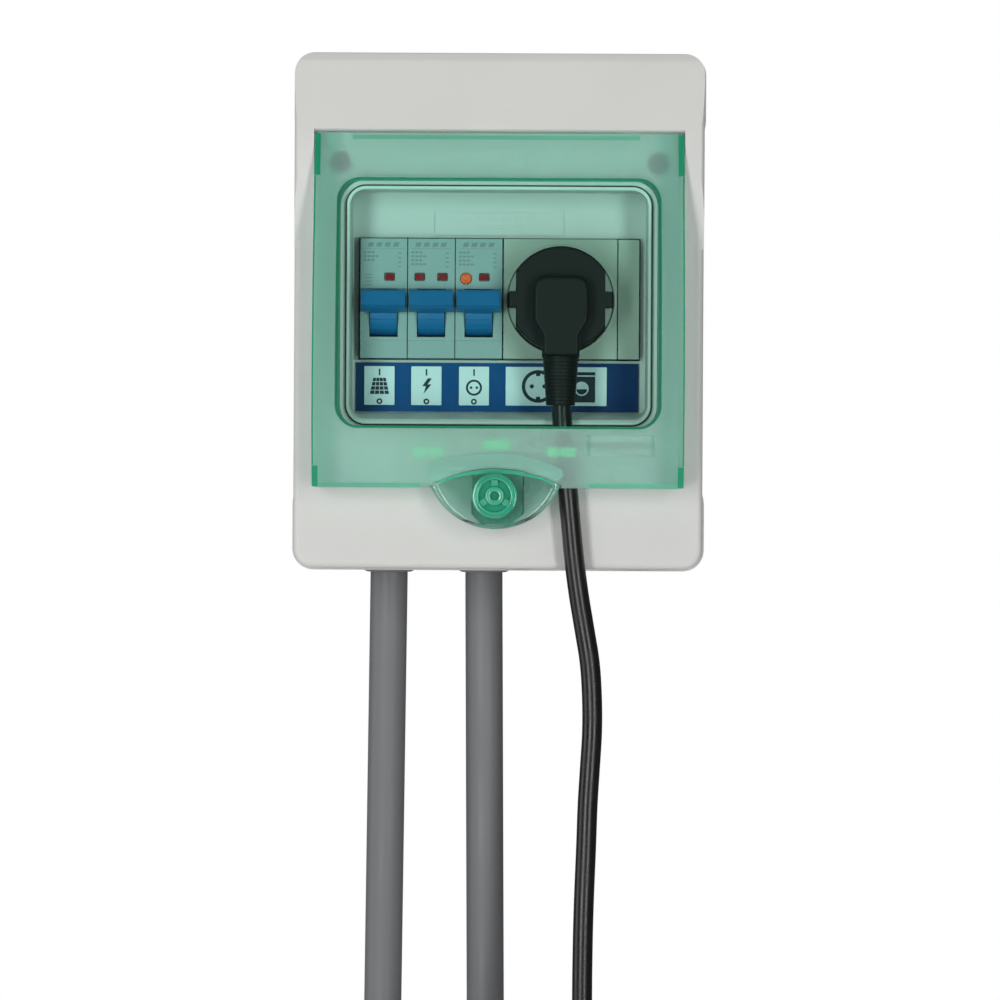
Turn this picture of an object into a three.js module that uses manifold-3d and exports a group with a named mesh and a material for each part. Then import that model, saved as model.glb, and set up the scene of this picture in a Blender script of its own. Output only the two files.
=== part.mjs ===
// A small wall distribution box: a back box, a cover with a deep window, a see-through door
// hinged along its top edge, three breakers and a socket on one rail, an angled plug with its
// cord, and two grey installation cables.
//
// Millimetres. +X is right, +Z is up and the front faces -Y. The wall is the plane Y = 0, and
// a depth is a distance in front of the wall. The origin is the middle of the back face.
import * as THREE from 'three';
import { mergeVertices } from 'three/addons/utils/BufferGeometryUtils.js';
import Module from 'manifold-3d';

const wasm = await Module();
wasm.setup();

// ---- Driving dimensions ----

const gap = 0.3; // kept between pieces that touch
const beyond = 1; // how far a cutter runs past the face that it cuts

const base = {
  halfWidth: 78.2, halfHeight: 100, corner: 8.2, depth: 48, wall: 2.8, backPlate: 3,
  bulge: 1.5, bulgeHeight: 28, bulgeEdge: 4,
};
const cover = {
  back: 50, halfWidth: 77.6, halfHeight: 98.6, corner: 7.6, wall: 2.5, edge: 2.8,
  face: 91, brow: 95, browBottom: 66.2, browTop: 92, browTopDepth: 91.5, cheekBottom: 54, cheekEnd: 22,
  topLean: 3.6, // how far the top side leans in from the cover's back to its brow
};
const hingeBlock = { halfWidth: 71, back: 86.5, bottom: 57, top: 67.5 }; // carries the hinge's trench
const seal = { inset: 0.6, endInset: 0.8, width: 1.8, corner: 7 };
const recess = {
  halfWidth: 57.9, top: 45.7, bottom: -44.2, corner: 7.8, deepCorner: 1.5, lip: 2, lipDepth: 94,
  maskBack: 73, maskFront: 75, taper: 1.4,
};
const badge = { halfWidth: 24.4, bottom: 27.8, top: 37.1, height: 0.5 };
const coverScrew = {
  x: 59.7, top: 53.7, bottom: -59.9, post: 5, pilot: 2.3, boreBack: 18,
  head: 3.5, headHeight: 2.5, shank: 2, tip: 26,
};
const screwSeat = { radius: 4.2, depth: 85 };
const wallHole = { x: 55, z: 80, radius: 2.6 };

const railHeight = 3.6; // the rail's centre line
const rail = { halfLength: 66, halfHeight: 17.5, webHalfHeight: 13.5, back: 19.5, front: 27, sheet: 1 };
const railScrew = { x: 60, head: 3, headHeight: 2, shank: 1.9, hole: 2.2, post: 6, boreBack: 8, length: 10 };

const device = { back: 27.3, shoulder: 71, face: 80, halfHeight: 42, noseTop: 22.6, noseBottom: -22.6 };
const module18 = 18; // the width of one rail module
const firstEdge = -52.6; // the left side of the first breaker
const opening = { left: -54.3, right: 53.3, top: 26.5, bottom: -19.3 };

const toggle = {
  depth: 74, height: -2.2 - railHeight, drum: 8.2, stem: 10.1, grip: 16.6,
  gripStart: 9, gripEnd: 14.6, gripHalf: 3.7, onAngle: 23,
};
const slot = { half: 5.4, bottom: -10.9 - railHeight, top: 6.5 - railHeight, back: 65 };
const flag = { width: 3.6, height: 2.8, z: 8.1, back: 79.2, front: 79.9 };
const testButton = { x: -4.9, z: 7.5, radius: 2.3, back: 77, front: 81.2, boreBack: 74 };

const socket = { x: 23.2, width: 43.2, wellX: 0.1, wellZ: -0.5, well: 20.2, wellBack: 62.5 };
const pinHole = { spread: 9.5, radius: 2.8, back: 42 };
const earthClip = { half: 2, thick: 0.6, back: 64, front: 80.4 };
const filler = { left: 44.8, right: 53, back: 77, front: 79, legBack: 68, leg: 1.4 };

const strip = { left: -54.1, right: 53, bottom: -39.1, top: -20.6, back: 75.3, front: 76 };
const card = { bottom: -36.7, top: -22, back: 76.3, front: 76.7 };
const cardEdges = [[-50.9, -39.4], [-33.1, -21.6], [-15, -3.6], [2.7, 41]];

const plug = {
  x: 23.3, z: 3.1, radius: 19.6, flat: 16.6, tab: 2.5, back: 63, face: 96, top: 103,
  bodyHalf: 10.4, neckHalf: 7, bodyTop: 11.5, bodyNarrow: -5, neckBottom: -17.2,
};
const plugPin = { radius: 2.4, tip: 44, spread: 9.5 };
const relief = {
  top: -18.6, bottom: -37, topRadius: 6.8, bottomRadius: 5.4, topDepth: 94.2, bottomDepth: 97,
};

const door = {
  halfWidth: 69.2, top: 64.8, bottom: -68, corner: 1.6, wall: 2.4, skirt: 2.2, back: 91.3,
  topDepth: 94.5, bulgeDepth: 112, bulgeZ: -32, bottomDepth: 106.5,
};
const rib = { halfWidth: 60.9, top: 47.8, bottom: -46.8, corner: 9, thick: 1.5, back: 92 };
const hinge = { depth: 92.9, z: 62, pin: 1.1, hole: 1.4, boss: 2, trench: 3.7, inner: 65.5, outer: 72.3 };
const cordNotch = { x: 25.4, half: 5.9, front: 103.2 };

const latch = {
  x: -0.9, tipZ: -67.1, halfWidth: 24.3, rise: 6.1, drop: 15.6, back: 104, front: 107, edge: 0.8,
};
const knob = {
  x: -1.1, z: -71, radius: 8.4, ring: 2.4, hub: 3.6, spoke: 2.2, back: 107.3, front: 111.4,
  shaft: 2.8, hole: 3.2,
};
const cam = { back: 83, front: 87, halfLength: 6.4, halfWidth: 2.6 };
const lockPocket = { half: 9.7, top: -59.9, bottom: -81.7, chamfer: 4, floor: 77, wall: 2 };

const bar = {
  left: -40, right: 20, height: 8, back: 15, front: 23, holes: 6, hole: 1.7, post: 3, postInset: 8,
};
const neutralBarZ = 72;
const earthBarZ = -62;

const cable = { radius: 7.25, depth: 32, inner: -88, end: -271, coreLength: 26, core: 1.9, coreSpread: 3 };
const cables = [
  { name: 'left', topX: -42.4, endX: -44 },
  { name: 'right', topX: -5.5, endX: -4 },
];
const grommet = { bore: 7.55, waist: 9.6, wallHole: 9.9, flange: 11.6, lip: 0.6, inside: 2 };
const wireRadius = 1.5;

// The black cord, as [x, depth, z] along its middle, from the strain relief to its coil.
const cordRadius = 3.75;
const cordRoute = [
  [23.6, 97.6, -37.3], [24.2, 98.9, -46], [25.2, 98.6, -57], [26.2, 97.8, -68.8],
  [27.5, 97.2, -82], [28.8, 96.8, -94.8], [30.5, 96.6, -107.5], [32.7, 96.5, -120.5],
  [34.8, 96.5, -133.3], [35.7, 96.5, -146.4], [35.8, 96.6, -159.2], [35.1, 96.8, -172],
  [34.3, 97, -186], [33.8, 97.4, -202], [33.2, 98.3, -218], [32.8, 99.8, -232],
  [32.6, 101.9, -244], [32.5, 104.2, -254], [32.6, 106.2, -263.2], [33.7, 107.3, -271.9],
  [36.8, 107.4, -280.1],
];
// The rest of its length is wound into a coil of six layers of cord, two wide and three deep.
// The cord comes down in front of the coil and ends here on its front face.
const coil = { x: 17.1, depth: 91.5, z: -309.5, radius: 37.2, halfRadial: 7.9, halfAxial: 11.7, bevel: 3.2 };
const tie = { angle: -75, thick: 1.4, width: 5 };
// The far end hangs straight down behind the coil's right side: sheath, then three cores.
const tail = {
  x: 58.2, depth: 83.7, top: -335.5, sheathEnd: -352, coreEnd: -374, core: 1.3, coreSpread: 1.7,
};

// ---- Materials ----

function plain(color, roughness, metalness = 0) {
  return new THREE.MeshStandardMaterial({ color, roughness, metalness });
}

function clear(color, opacity) {
  return new THREE.MeshStandardMaterial({ color, roughness: 0.15, transparent: true, opacity });
}

const lightGrey = 0xd2d2ce;
const blackPlastic = 0x151515;
const steel = 0xb9bcc0;
const brass = 0xb99a55;
const grips = 0x2b7fc8;

// ---- Making and combining solids ----

function solidOf(geometry) {
  const bare = geometry.index ? geometry.clone() : geometry;
  bare.deleteAttribute('normal');
  bare.deleteAttribute('uv');
  const merged = mergeVertices(bare, 1e-4);
  const vertProperties = new Float32Array(merged.attributes.position.array);
  const triVerts = new Uint32Array(merged.index.array);
  return new wasm.Manifold(new wasm.Mesh({ numProp: 3, vertProperties, triVerts }));
}

function geometryOf(solid) {
  const mesh = solid.getMesh();
  const geometry = new THREE.BufferGeometry();
  geometry.setAttribute('position', new THREE.BufferAttribute(mesh.vertProperties, 3));
  geometry.setIndex(new THREE.BufferAttribute(mesh.triVerts, 1));
  geometry.computeVertexNormals();
  return geometry;
}

function join(...solids) {
  return solids.reduce((whole, next) => whole.add(next));
}

function cut(solid, ...cutters) {
  return cutters.reduce((rest, cutter) => rest.subtract(cutter), solid);
}

// A box between two values on each axis, with depths in place of Y.
function block([x0, x1], [d0, d1], [z0, z1]) {
  const geometry = new THREE.BoxGeometry(x1 - x0, d1 - d0, z1 - z0);
  geometry.translate((x0 + x1) / 2, -(d0 + d1) / 2, (z0 + z1) / 2);
  return solidOf(geometry);
}

// A front-view shape in (x, z), extruded from one depth to another. `round` rounds its front edge.
function fromFront(shape, d0, d1, round = 0, curveSegments = 3) {
  const geometry = new THREE.ExtrudeGeometry(shape, {
    depth: d1 - d0 - round,
    curveSegments,
    bevelEnabled: round > 0,
    bevelThickness: round,
    bevelSize: round,
    bevelOffset: -round,
    bevelSegments: 3,
  });
  geometry.rotateX(Math.PI / 2);
  geometry.translate(0, -d0, 0);
  const solid = solidOf(geometry);
  if (!round) return solid;
  const far = 200;
  return cut(solid, block([-far, far], [d0 - round - beyond, d0], [-far, far]));
}

// A side-view shape in (depth, z), extruded across X.
function fromSide(shape, x0, x1, curveSegments = 8) {
  const geometry = new THREE.ExtrudeGeometry(shape, { depth: x1 - x0, curveSegments, bevelEnabled: false });
  const turn = new THREE.Matrix4().makeBasis(
    new THREE.Vector3(0, -1, 0),
    new THREE.Vector3(0, 0, 1),
    new THREE.Vector3(-1, 0, 0),
  );
  geometry.applyMatrix4(turn);
  geometry.translate(x1, 0, 0);
  return solidOf(geometry);
}

// A round rod along one axis ('x', 'depth' or 'z') through the point [x, depth, z].
function rod(axis, radius, from, to, [x, depth, z], sides = 16, endRadius = radius) {
  const geometry = new THREE.CylinderGeometry(endRadius, radius, to - from, sides);
  geometry.translate(0, (from + to) / 2, 0);
  if (axis === 'x') geometry.rotateZ(-Math.PI / 2);
  if (axis === 'depth') geometry.rotateX(Math.PI);
  if (axis === 'z') geometry.rotateX(Math.PI / 2);
  geometry.translate(x, -depth, z);
  return solidOf(geometry);
}

// A round tube along points given as [x, depth, z].
function tube(points, radius, sides, steps) {
  const path = new THREE.CatmullRomCurve3(points.map(([x, depth, z]) => new THREE.Vector3(x, -depth, z)));
  const section = new THREE.Shape();
  section.absarc(0, 0, radius, 0, 2 * Math.PI);
  return new THREE.ExtrudeGeometry(section, { steps, extrudePath: path, curveSegments: sides / 2 });
}

function roundedRectangle(halfWidth, bottom, top, corner) {
  const shape = new THREE.Shape();
  const x = halfWidth - corner;
  shape.absarc(x, bottom + corner, corner, -Math.PI / 2, 0);
  shape.absarc(x, top - corner, corner, 0, Math.PI / 2);
  shape.absarc(-x, top - corner, corner, Math.PI / 2, Math.PI);
  shape.absarc(-x, bottom + corner, corner, Math.PI, 1.5 * Math.PI);
  shape.closePath();
  return shape;
}

function polygon(points) {
  return new THREE.Shape(points.map(([x, y]) => new THREE.Vector2(x, y)));
}

// ---- The tree of pieces ----

const box = new THREE.Group();

function addPiece(name, solid, material, parent = box) {
  const geometry = solid.isBufferGeometry ? solid : geometryOf(solid);
  const mesh = new THREE.Mesh(geometry, material);
  mesh.name = name;
  parent.add(mesh);
  return mesh;
}

function addGroup(x, depth, z) {
  const group = new THREE.Group();
  group.position.set(x, -depth, z);
  box.add(group);
  return group;
}

// ---- Back box, gasket and cover ----

// The back box is a little wider at its four corners than at its waist.
function baseOutline() {
  const { halfWidth, halfHeight, corner, bulge, bulgeHeight, bulgeEdge } = base;
  const wide = halfWidth + bulge;
  const shape = new THREE.Shape();
  const bulgeStart = halfHeight - bulgeHeight;
  const x = wide - corner;
  const z = halfHeight - corner;
  shape.moveTo(halfWidth, -bulgeStart + bulgeEdge);
  shape.lineTo(halfWidth, bulgeStart - bulgeEdge);
  shape.lineTo(wide, bulgeStart);
  shape.absarc(x, z, corner, 0, Math.PI / 2);
  shape.absarc(-x, z, corner, Math.PI / 2, Math.PI);
  shape.lineTo(-wide, bulgeStart);
  shape.lineTo(-halfWidth, bulgeStart - bulgeEdge);
  shape.lineTo(-halfWidth, -bulgeStart + bulgeEdge);
  shape.lineTo(-wide, -bulgeStart);
  shape.absarc(-x, -z, corner, Math.PI, 1.5 * Math.PI);
  shape.absarc(x, -z, corner, 1.5 * Math.PI, 2 * Math.PI);
  shape.lineTo(wide, -bulgeStart);
  shape.closePath();
  return shape;
}

const coverScrewPlaces = [
  ['top_left', -coverScrew.x, coverScrew.top],
  ['top_right', coverScrew.x, coverScrew.top],
  ['bottom_left', -coverScrew.x, coverScrew.bottom],
  ['bottom_right', coverScrew.x, coverScrew.bottom],
];

function baseShell() {
  const { halfWidth, halfHeight, corner, depth, wall, backPlate } = base;
  const inner = roundedRectangle(halfWidth - wall, -halfHeight + wall, halfHeight - wall, corner - wall);
  let shell = cut(fromFront(baseOutline(), 0, depth), fromFront(inner, backPlate, depth + beyond));
  const root = backPlate - beyond;
  for (const [, x, z] of coverScrewPlaces) {
    shell = join(shell, rod('depth', coverScrew.post, root, depth - 1, [x, 0, z]));
    shell = cut(shell, rod('depth', coverScrew.pilot, coverScrew.boreBack, depth, [x, 0, z], 12));
  }
  for (const side of [-1, 1]) {
    const x = side * railScrew.x;
    shell = join(shell, rod('depth', railScrew.post, root, rail.back - gap, [x, 0, railHeight]));
    shell = cut(shell, rod('depth', railScrew.hole, railScrew.boreBack, rail.back, [x, 0, railHeight], 12));
  }
  for (const z of [neutralBarZ, earthBarZ]) {
    for (const x of [bar.left + bar.postInset, bar.right - bar.postInset]) {
      shell = join(shell, rod('depth', bar.post, root, bar.back - gap, [x, 0, z], 12));
    }
  }
  for (const x of [-wallHole.x, wallHole.x]) {
    for (const z of [-wallHole.z, wallHole.z]) {
      shell = cut(shell, rod('depth', wallHole.radius, -beyond, backPlate + beyond, [x, 0, z], 16));
    }
  }
  for (const { topX } of cables) {
    const hole = rod('z', grommet.wallHole, -halfHeight - beyond, -halfHeight + wall + beyond,
      [topX, cable.depth, 0], 24);
    shell = cut(shell, hole);
  }
  return shell;
}

function gasket() {
  const { inset, endInset, width, corner } = seal;
  const half = base.halfWidth - inset;
  const z = cover.halfHeight - endInset;
  const ring = fromFront(roundedRectangle(half, -z, z, corner), base.depth + gap, cover.back - gap, 0, 3);
  const inner = roundedRectangle(half - width, -z + width, z - width, corner - width);
  return cut(ring, fromFront(inner, base.depth, cover.back, 0, 3));
}

// Everything below the cover's leaning top side, or below its inner face with `drop` = the wall.
function belowTop(drop) {
  const { back, brow, halfHeight, topLean } = cover;
  const top = halfHeight - drop;
  const low = -halfHeight - beyond;
  const profile = polygon([
    [back - 2 * beyond, top], [back, top], [brow, top - topLean], [brow + 2 * beyond, top - topLean],
    [brow + 2 * beyond, low], [back - 2 * beyond, low],
  ]);
  return fromSide(profile, -90, 90);
}

// The cover's face is level, with a brow above the door that runs down beside its top corners.
function coverBody() {
  const { back, halfWidth, halfHeight, corner, wall, edge, face, brow } = cover;
  const outline = roundedRectangle(halfWidth, -halfHeight, halfHeight, corner);
  const level = fromFront(outline, back, face, edge);
  const browSide = polygon([
    [back + 10, halfHeight + beyond], [cover.browTopDepth - 4, halfHeight + beyond],
    [cover.browTopDepth, cover.browTop], [brow, cover.browBottom], [brow, cover.cheekBottom],
    [face - 0.5, cover.cheekEnd], [back + 10, cover.cheekEnd],
  ]);
  const raised = fromFront(outline, back, brow, edge + 1).intersect(fromSide(browSide, -90, 90));
  const bedHalf = door.halfWidth + gap;
  const bed = block([-bedHalf, bedHalf], [face, brow + beyond], [-90, cover.browBottom]);
  const inner = roundedRectangle(halfWidth - wall, -halfHeight + wall, halfHeight - wall, corner - wall);
  const hollow = fromFront(inner, back - beyond, face - wall, edge - 1).intersect(belowTop(wall));
  const { halfWidth: blockHalf, back: blockBack, bottom, top } = hingeBlock;
  const hingeBack = block([-blockHalf, blockHalf], [blockBack, face - 1], [bottom, top]);
  return join(cut(cut(join(level, raised).intersect(belowTop(0)), bed), hollow), hingeBack);
}

function lockPocketShape(grow) {
  const { half, top, bottom, chamfer } = lockPocket;
  return polygon([
    [-half - grow, top + grow], [-half - grow, bottom + chamfer], [-half + chamfer, bottom - grow],
    [half - chamfer, bottom - grow], [half + grow, bottom + chamfer], [half + grow, top + grow],
  ]);
}

function coverShell() {
  const { face, back } = cover;
  const { halfWidth, top, bottom, corner, deepCorner, lip, lipDepth, maskBack, maskFront, taper } = recess;
  const collar = fromFront(roundedRectangle(halfWidth, bottom, top, corner), maskBack, lipDepth);
  const mouth = roundedRectangle(halfWidth - lip, bottom + lip, top - lip, corner - lip);
  const deep = roundedRectangle(halfWidth - lip - taper, bottom + lip + taper, top - lip - taper, deepCorner);
  let shell = join(coverBody(), collar);
  shell = cut(shell, fromFront(mouth, maskFront + 8, lipDepth + beyond));
  shell = cut(shell, fromFront(deep, maskFront, lipDepth));
  shell = cut(shell, block([opening.left, opening.right], [maskBack - 1, maskFront + 1],
    [opening.bottom, opening.top]));
  shell = join(shell, block([-badge.halfWidth, badge.halfWidth], [maskFront - 0.5, maskFront + badge.height],
    [badge.bottom, badge.top]));
  for (const [, x, z] of coverScrewPlaces) {
    shell = join(shell, rod('depth', coverScrew.post + 0.5, back, face - 1, [x, 0, z]));
    shell = cut(shell, rod('depth', coverScrew.pilot, back - beyond, face + beyond, [x, 0, z], 12));
    shell = cut(shell, rod('depth', screwSeat.radius, screwSeat.depth, face + beyond, [x, 0, z], 16));
  }
  const { floor, wall } = lockPocket;
  shell = join(shell, fromFront(lockPocketShape(wall), floor - wall, face - 1));
  shell = cut(shell, fromFront(lockPocketShape(0), floor, face + beyond));
  shell = cut(shell, rod('x', hinge.trench, -door.halfWidth - gap, door.halfWidth + gap,
    [0, hinge.depth, hinge.z], 24));
  const pinHoleEnd = hinge.outer + gap;
  shell = cut(shell, rod('x', hinge.hole, -pinHoleEnd, pinHoleEnd, [0, hinge.depth, hinge.z], 12));
  return shell;
}

function countersunkScrew(head, headHeight, shank, length) {
  const body = join(
    rod('depth', head, 0, headHeight, [0, 0, 0], 16),
    rod('depth', shank, -length, headHeight / 2, [0, 0, 0], 10),
  );
  const slotDepth = headHeight - 0.7;
  const arm = [-head * 0.6, head * 0.6];
  const thin = [-0.45, 0.45];
  return cut(
    body,
    block(arm, [slotDepth, headHeight + beyond], thin),
    block(thin, [slotDepth, headHeight + beyond], arm),
  );
}

function addHousing() {
  addPiece('base_shell', baseShell(), plain(lightGrey, 0.55));
  addPiece('cover_gasket', gasket(), plain(0x30302f, 0.8));
  addPiece('cover_shell', coverShell(), plain(lightGrey, 0.5));
  for (const [place, x, z] of coverScrewPlaces) {
    const { head, headHeight, shank, tip } = coverScrew;
    const screw = countersunkScrew(head, headHeight, shank, screwSeat.depth - tip);
    const group = addGroup(x, screwSeat.depth + gap, z);
    addPiece(`cover_screw_${place}`, screw, plain(steel, 0.35, 0.9), group);
  }
}

// ---- Rail, bars and inner wiring ----

function railProfile() {
  const { halfHeight, webHalfHeight: web, back, front, sheet } = rail;
  return polygon([
    [back, -web], [back, web], [front - sheet, web], [front - sheet, halfHeight], [front, halfHeight],
    [front, web - sheet], [back + sheet, web - sheet], [back + sheet, -web + sheet],
    [front, -web + sheet], [front, -halfHeight], [front - sheet, -halfHeight], [front - sheet, -web],
  ]);
}

function terminalBar() {
  const half = bar.height / 2;
  let brassBar = block([bar.left, bar.right], [bar.back, bar.front], [-half, half]);
  const pitch = (bar.right - bar.left) / bar.holes;
  for (let i = 0; i < bar.holes; i += 1) {
    const x = bar.left + pitch * (i + 0.5);
    brassBar = cut(brassBar, rod('depth', bar.hole, bar.front - 5, bar.front + beyond, [x, 0, 0], 10));
  }
  return brassBar;
}

function addRailAndBars() {
  let strip35 = fromSide(railProfile(), -rail.halfLength, rail.halfLength);
  for (const side of [-1, 1]) {
    const x = side * railScrew.x;
    strip35 = cut(strip35, rod('depth', railScrew.hole, rail.back - 1, rail.back + 2, [x, 0, 0], 12));
    const group = addGroup(x, rail.back + rail.sheet + gap, railHeight);
    const screw = countersunkScrew(railScrew.head, railScrew.headHeight, railScrew.shank, railScrew.length);
    addPiece(`rail_screw_${side < 0 ? 'left' : 'right'}`, screw, plain(steel, 0.35, 0.9), group);
  }
  addPiece('din_rail', strip35, plain(steel, 0.3, 0.9), addGroup(0, 0, railHeight));
  addPiece('neutral_bar', terminalBar(), plain(brass, 0.35, 0.9), addGroup(0, 0, neutralBarZ));
  addPiece('earth_bar', terminalBar(), plain(brass, 0.35, 0.9), addGroup(0, 0, earthBarZ));
}

function addWires() {
  const x = cables[0].topX;
  const start = cable.inner + 4 * gap;
  const phase = [
    [x + 3.4, 32, start], [x + 2.5, 36, -74], [-43.6, 46, -58], [-43.6, 50, -46], [-43.6, 50, -35],
  ];
  const neutral = [
    [x - 3.4, 32, start], [x - 6, 34, -78], [-60, 36, -72], [-68.5, 38, -60], [-69.5, 38, -40],
    [-69.5, 38, 0], [-69.5, 38, 38], [-67.5, 35, 56], [-60, 28, 67], [-50, 21, 71.5], [-40.4, 19, 72],
  ];
  const earth = [[x, 32, start], [x, 28, -80], [-39, 22, -74], [-36, 19.5, -70], [-36, 19, -66.4]];
  addPiece('wire_phase', tube(phase, wireRadius, 8, 12), plain(0x5b3a22, 0.5));
  addPiece('wire_neutral', tube(neutral, wireRadius, 8, 30), plain(0x2a5fa5, 0.5));
  addPiece('wire_earth', tube(earth, wireRadius, 8, 10), plain(0x6a9a2f, 0.5));
}

// ---- Rail devices: breakers, socket and blanking strip ----

// The outline that rail devices share, in (depth, z) about the rail's centre line.
function deviceOutline() {
  const { back, shoulder, face, halfHeight, noseTop, noseBottom } = device;
  return polygon([
    [back, -halfHeight], [shoulder, -halfHeight], [shoulder, noseBottom], [face, noseBottom],
    [face, noseTop], [shoulder, noseTop], [shoulder, halfHeight], [back, halfHeight],
  ]);
}

function terminalHoles(x) {
  const wellDepth = 12;
  return [-1, 1].flatMap((end) => {
    const z = end * (device.halfHeight - 7);
    const entry = [end * device.halfHeight - 6, end * device.halfHeight + 6];
    return [
      rod('depth', 2.8, device.shoulder - wellDepth, device.shoulder + beyond, [x, 0, z], 12),
      block([x - 3.2, x + 3.2], [46.5, 53.5], entry),
    ];
  });
}

function breakerBody(flagPlaces, hasButton) {
  const half = (module18 - gap) / 2;
  let body = fromSide(deviceOutline(), -half, half);
  body = cut(body, ...terminalHoles(0));
  const slotDepths = [slot.back, device.face + beyond];
  body = cut(body, block([-slot.half, slot.half], slotDepths, [slot.bottom, slot.top]));
  for (const x of flagPlaces) {
    const w = flag.width / 2 + gap;
    const h = flag.height / 2 + gap;
    const depths = [flag.back - gap, device.face + beyond];
    body = cut(body, block([x - w, x + w], depths, [flag.z - h, flag.z + h]));
  }
  if (hasButton) {
    const { x, z, radius, boreBack } = testButton;
    body = cut(body, rod('depth', radius + gap, boreBack, device.face + beyond, [x, 0, z], 20));
  }
  return body;
}

function railClip(halfWidth) {
  const hookTop = -rail.halfHeight + 1.6;
  const under = -rail.halfHeight - gap;
  return join(
    block([-halfWidth, halfWidth], [23.8, 27], [-device.halfHeight - 3, under]),
    block([-halfWidth, halfWidth], [23.8, 25.6], [under - 1, hookTop]),
  );
}

// The toggle turns about the origin. It is made level, pointing forwards, then tilted to on.
function toggleSolid() {
  const drum = rod('x', toggle.drum, -toggle.stem / 2, toggle.stem / 2, [0, 0, 0], 28);
  const neck = block([-toggle.stem / 2, toggle.stem / 2], [0, toggle.gripStart + 1], [-3.2, 3.2]);
  const half = toggle.gripHalf;
  const grip = fromSide(polygon([
    [toggle.gripStart, -half], [toggle.gripEnd - 1.2, -half], [toggle.gripEnd, -half + 1.6],
    [toggle.gripEnd, half - 1.6], [toggle.gripEnd - 1.2, half], [toggle.gripStart, half],
  ]), -toggle.grip / 2, toggle.grip / 2);
  return join(drum, neck, grip);
}

function addBreakers() {
  const flagPlaces = [[2.2], [-4.4, 4.2], [2]];
  flagPlaces.forEach((places, i) => {
    const number = i + 1;
    const x = firstEdge + module18 * (i + 0.5);
    const group = addGroup(x, 0, railHeight);
    addPiece(`breaker_${number}_body`, breakerBody(places, number === 3), plain(0xd9dad6, 0.45), group);
    addPiece(`breaker_${number}_clip`, railClip(5), plain(0x3a3a3a, 0.5), group);
    places.forEach((place, j) => {
      const w = flag.width / 2;
      const h = flag.height / 2;
      const window = block([place - w, place + w], [flag.back, flag.front], [flag.z - h, flag.z + h]);
      addPiece(`breaker_${number}_flag_${j + 1}`, window, plain(0xa8252a, 0.35), group);
    });
    const pivot = addGroup(x, toggle.depth, railHeight + toggle.height);
    const lever = addPiece(`breaker_${number}_toggle`, toggleSolid(), plain(grips, 0.35), pivot);
    lever.rotation.x = -THREE.MathUtils.degToRad(toggle.onAngle);
    if (number === 3) {
      const { z, radius, back, front } = testButton;
      const button = rod('depth', radius, back, front, [testButton.x, 0, z], 20);
      addPiece('test_button', button, plain(0xe07a28, 0.4), group);
    }
  });
}

function socketModule() {
  const { width, wellX, wellZ, well, wellBack } = socket;
  const half = (width - gap) / 2;
  let body = fromSide(deviceOutline(), -half, half);
  body = cut(body, ...terminalHoles(-12), ...terminalHoles(12));
  body = cut(body, rod('depth', well, wellBack, device.face + beyond, [wellX, 0, wellZ], 36));
  for (const side of [-1, 1]) {
    const x = wellX + side * pinHole.spread;
    body = cut(body, rod('depth', pinHole.radius, pinHole.back, wellBack + beyond, [x, 0, wellZ], 14));
    const z = wellZ + side * (well + 0.3);
    const groove = [wellX - earthClip.half - gap, wellX + earthClip.half + gap];
    body = cut(body, block(groove, [earthClip.back - gap, device.face + beyond], [z - 1.2, z + 1.2]));
  }
  return body;
}

function addSocket() {
  const group = addGroup(socket.x, 0, railHeight);
  addPiece('socket_module', socketModule(), plain(0xcfcdc4, 0.45), group);
  addPiece('socket_clip', railClip(7), plain(0x3a3a3a, 0.5), group);
  for (const [place, side] of [['bottom', -1], ['top', 1]]) {
    const z = socket.wellZ + side * (socket.well + 0.6);
    const { half, thick, back, front } = earthClip;
    const across = [socket.wellX - half, socket.wellX + half];
    const leaf = block(across, [back, front], [z - thick / 2, z + thick / 2]);
    addPiece(`socket_earth_clip_${place}`, leaf, plain(steel, 0.3, 0.9), group);
  }
}

function addFiller() {
  const { left, right, back, front, legBack, leg } = filler;
  const x = [left + gap, right];
  const z = [device.noseBottom, device.noseTop];
  const solid = join(
    block(x, [back, front], z),
    block(x, [legBack, back + 0.5], [z[0], z[0] + leg]),
    block(x, [legBack, back + 0.5], [z[1] - leg, z[1]]),
  );
  addPiece('blank_filler', solid, plain(0xc9cac6, 0.5), addGroup(0, 0, railHeight));
}

function addLabels() {
  const plate = block([strip.left, strip.right], [strip.back, strip.front], [strip.bottom, strip.top]);
  addPiece('label_strip', plate, plain(0x1f4f9c, 0.4));
  cardEdges.forEach(([left, right], i) => {
    const face = block([left, right], [card.back, card.front], [card.bottom, card.top]);
    addPiece(`label_card_${i + 1}`, face, plain(0xe6eee9, 0.5));
  });
}

// ---- Plug, cord, coil and cables ----

function plugBody() {
  const { x, z, radius, flat, tab, back, face, top, bodyHalf, neckHalf } = plug;
  const round = rod('depth', radius, back, face, [x, 0, z], 36);
  const farSide = radius + beyond;
  let body = round;
  for (const side of [-1, 1]) {
    const edges = [x + side * flat, x + side * farSide].sort((a, b) => a - b);
    body = cut(body, block(edges, [device.face - 8, face + beyond], [z + tab, z + farSide]));
    body = cut(body, block(edges, [device.face - 8, face + beyond], [z - farSide, z - tab]));
  }
  const outline = polygon([
    [x - bodyHalf + 3, plug.bodyTop], [x - bodyHalf, plug.bodyTop - 3], [x - bodyHalf, plug.bodyNarrow],
    [x - neckHalf, plug.bodyNarrow - 6], [x - neckHalf, plug.neckBottom], [x + neckHalf, plug.neckBottom],
    [x + neckHalf, plug.bodyNarrow - 6], [x + bodyHalf, plug.bodyNarrow], [x + bodyHalf, plug.bodyTop - 3],
    [x + bodyHalf - 3, plug.bodyTop],
  ].reverse());
  const handle = fromFront(outline, face - 8, top, 2.5, 2);
  return join(body, handle);
}

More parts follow.
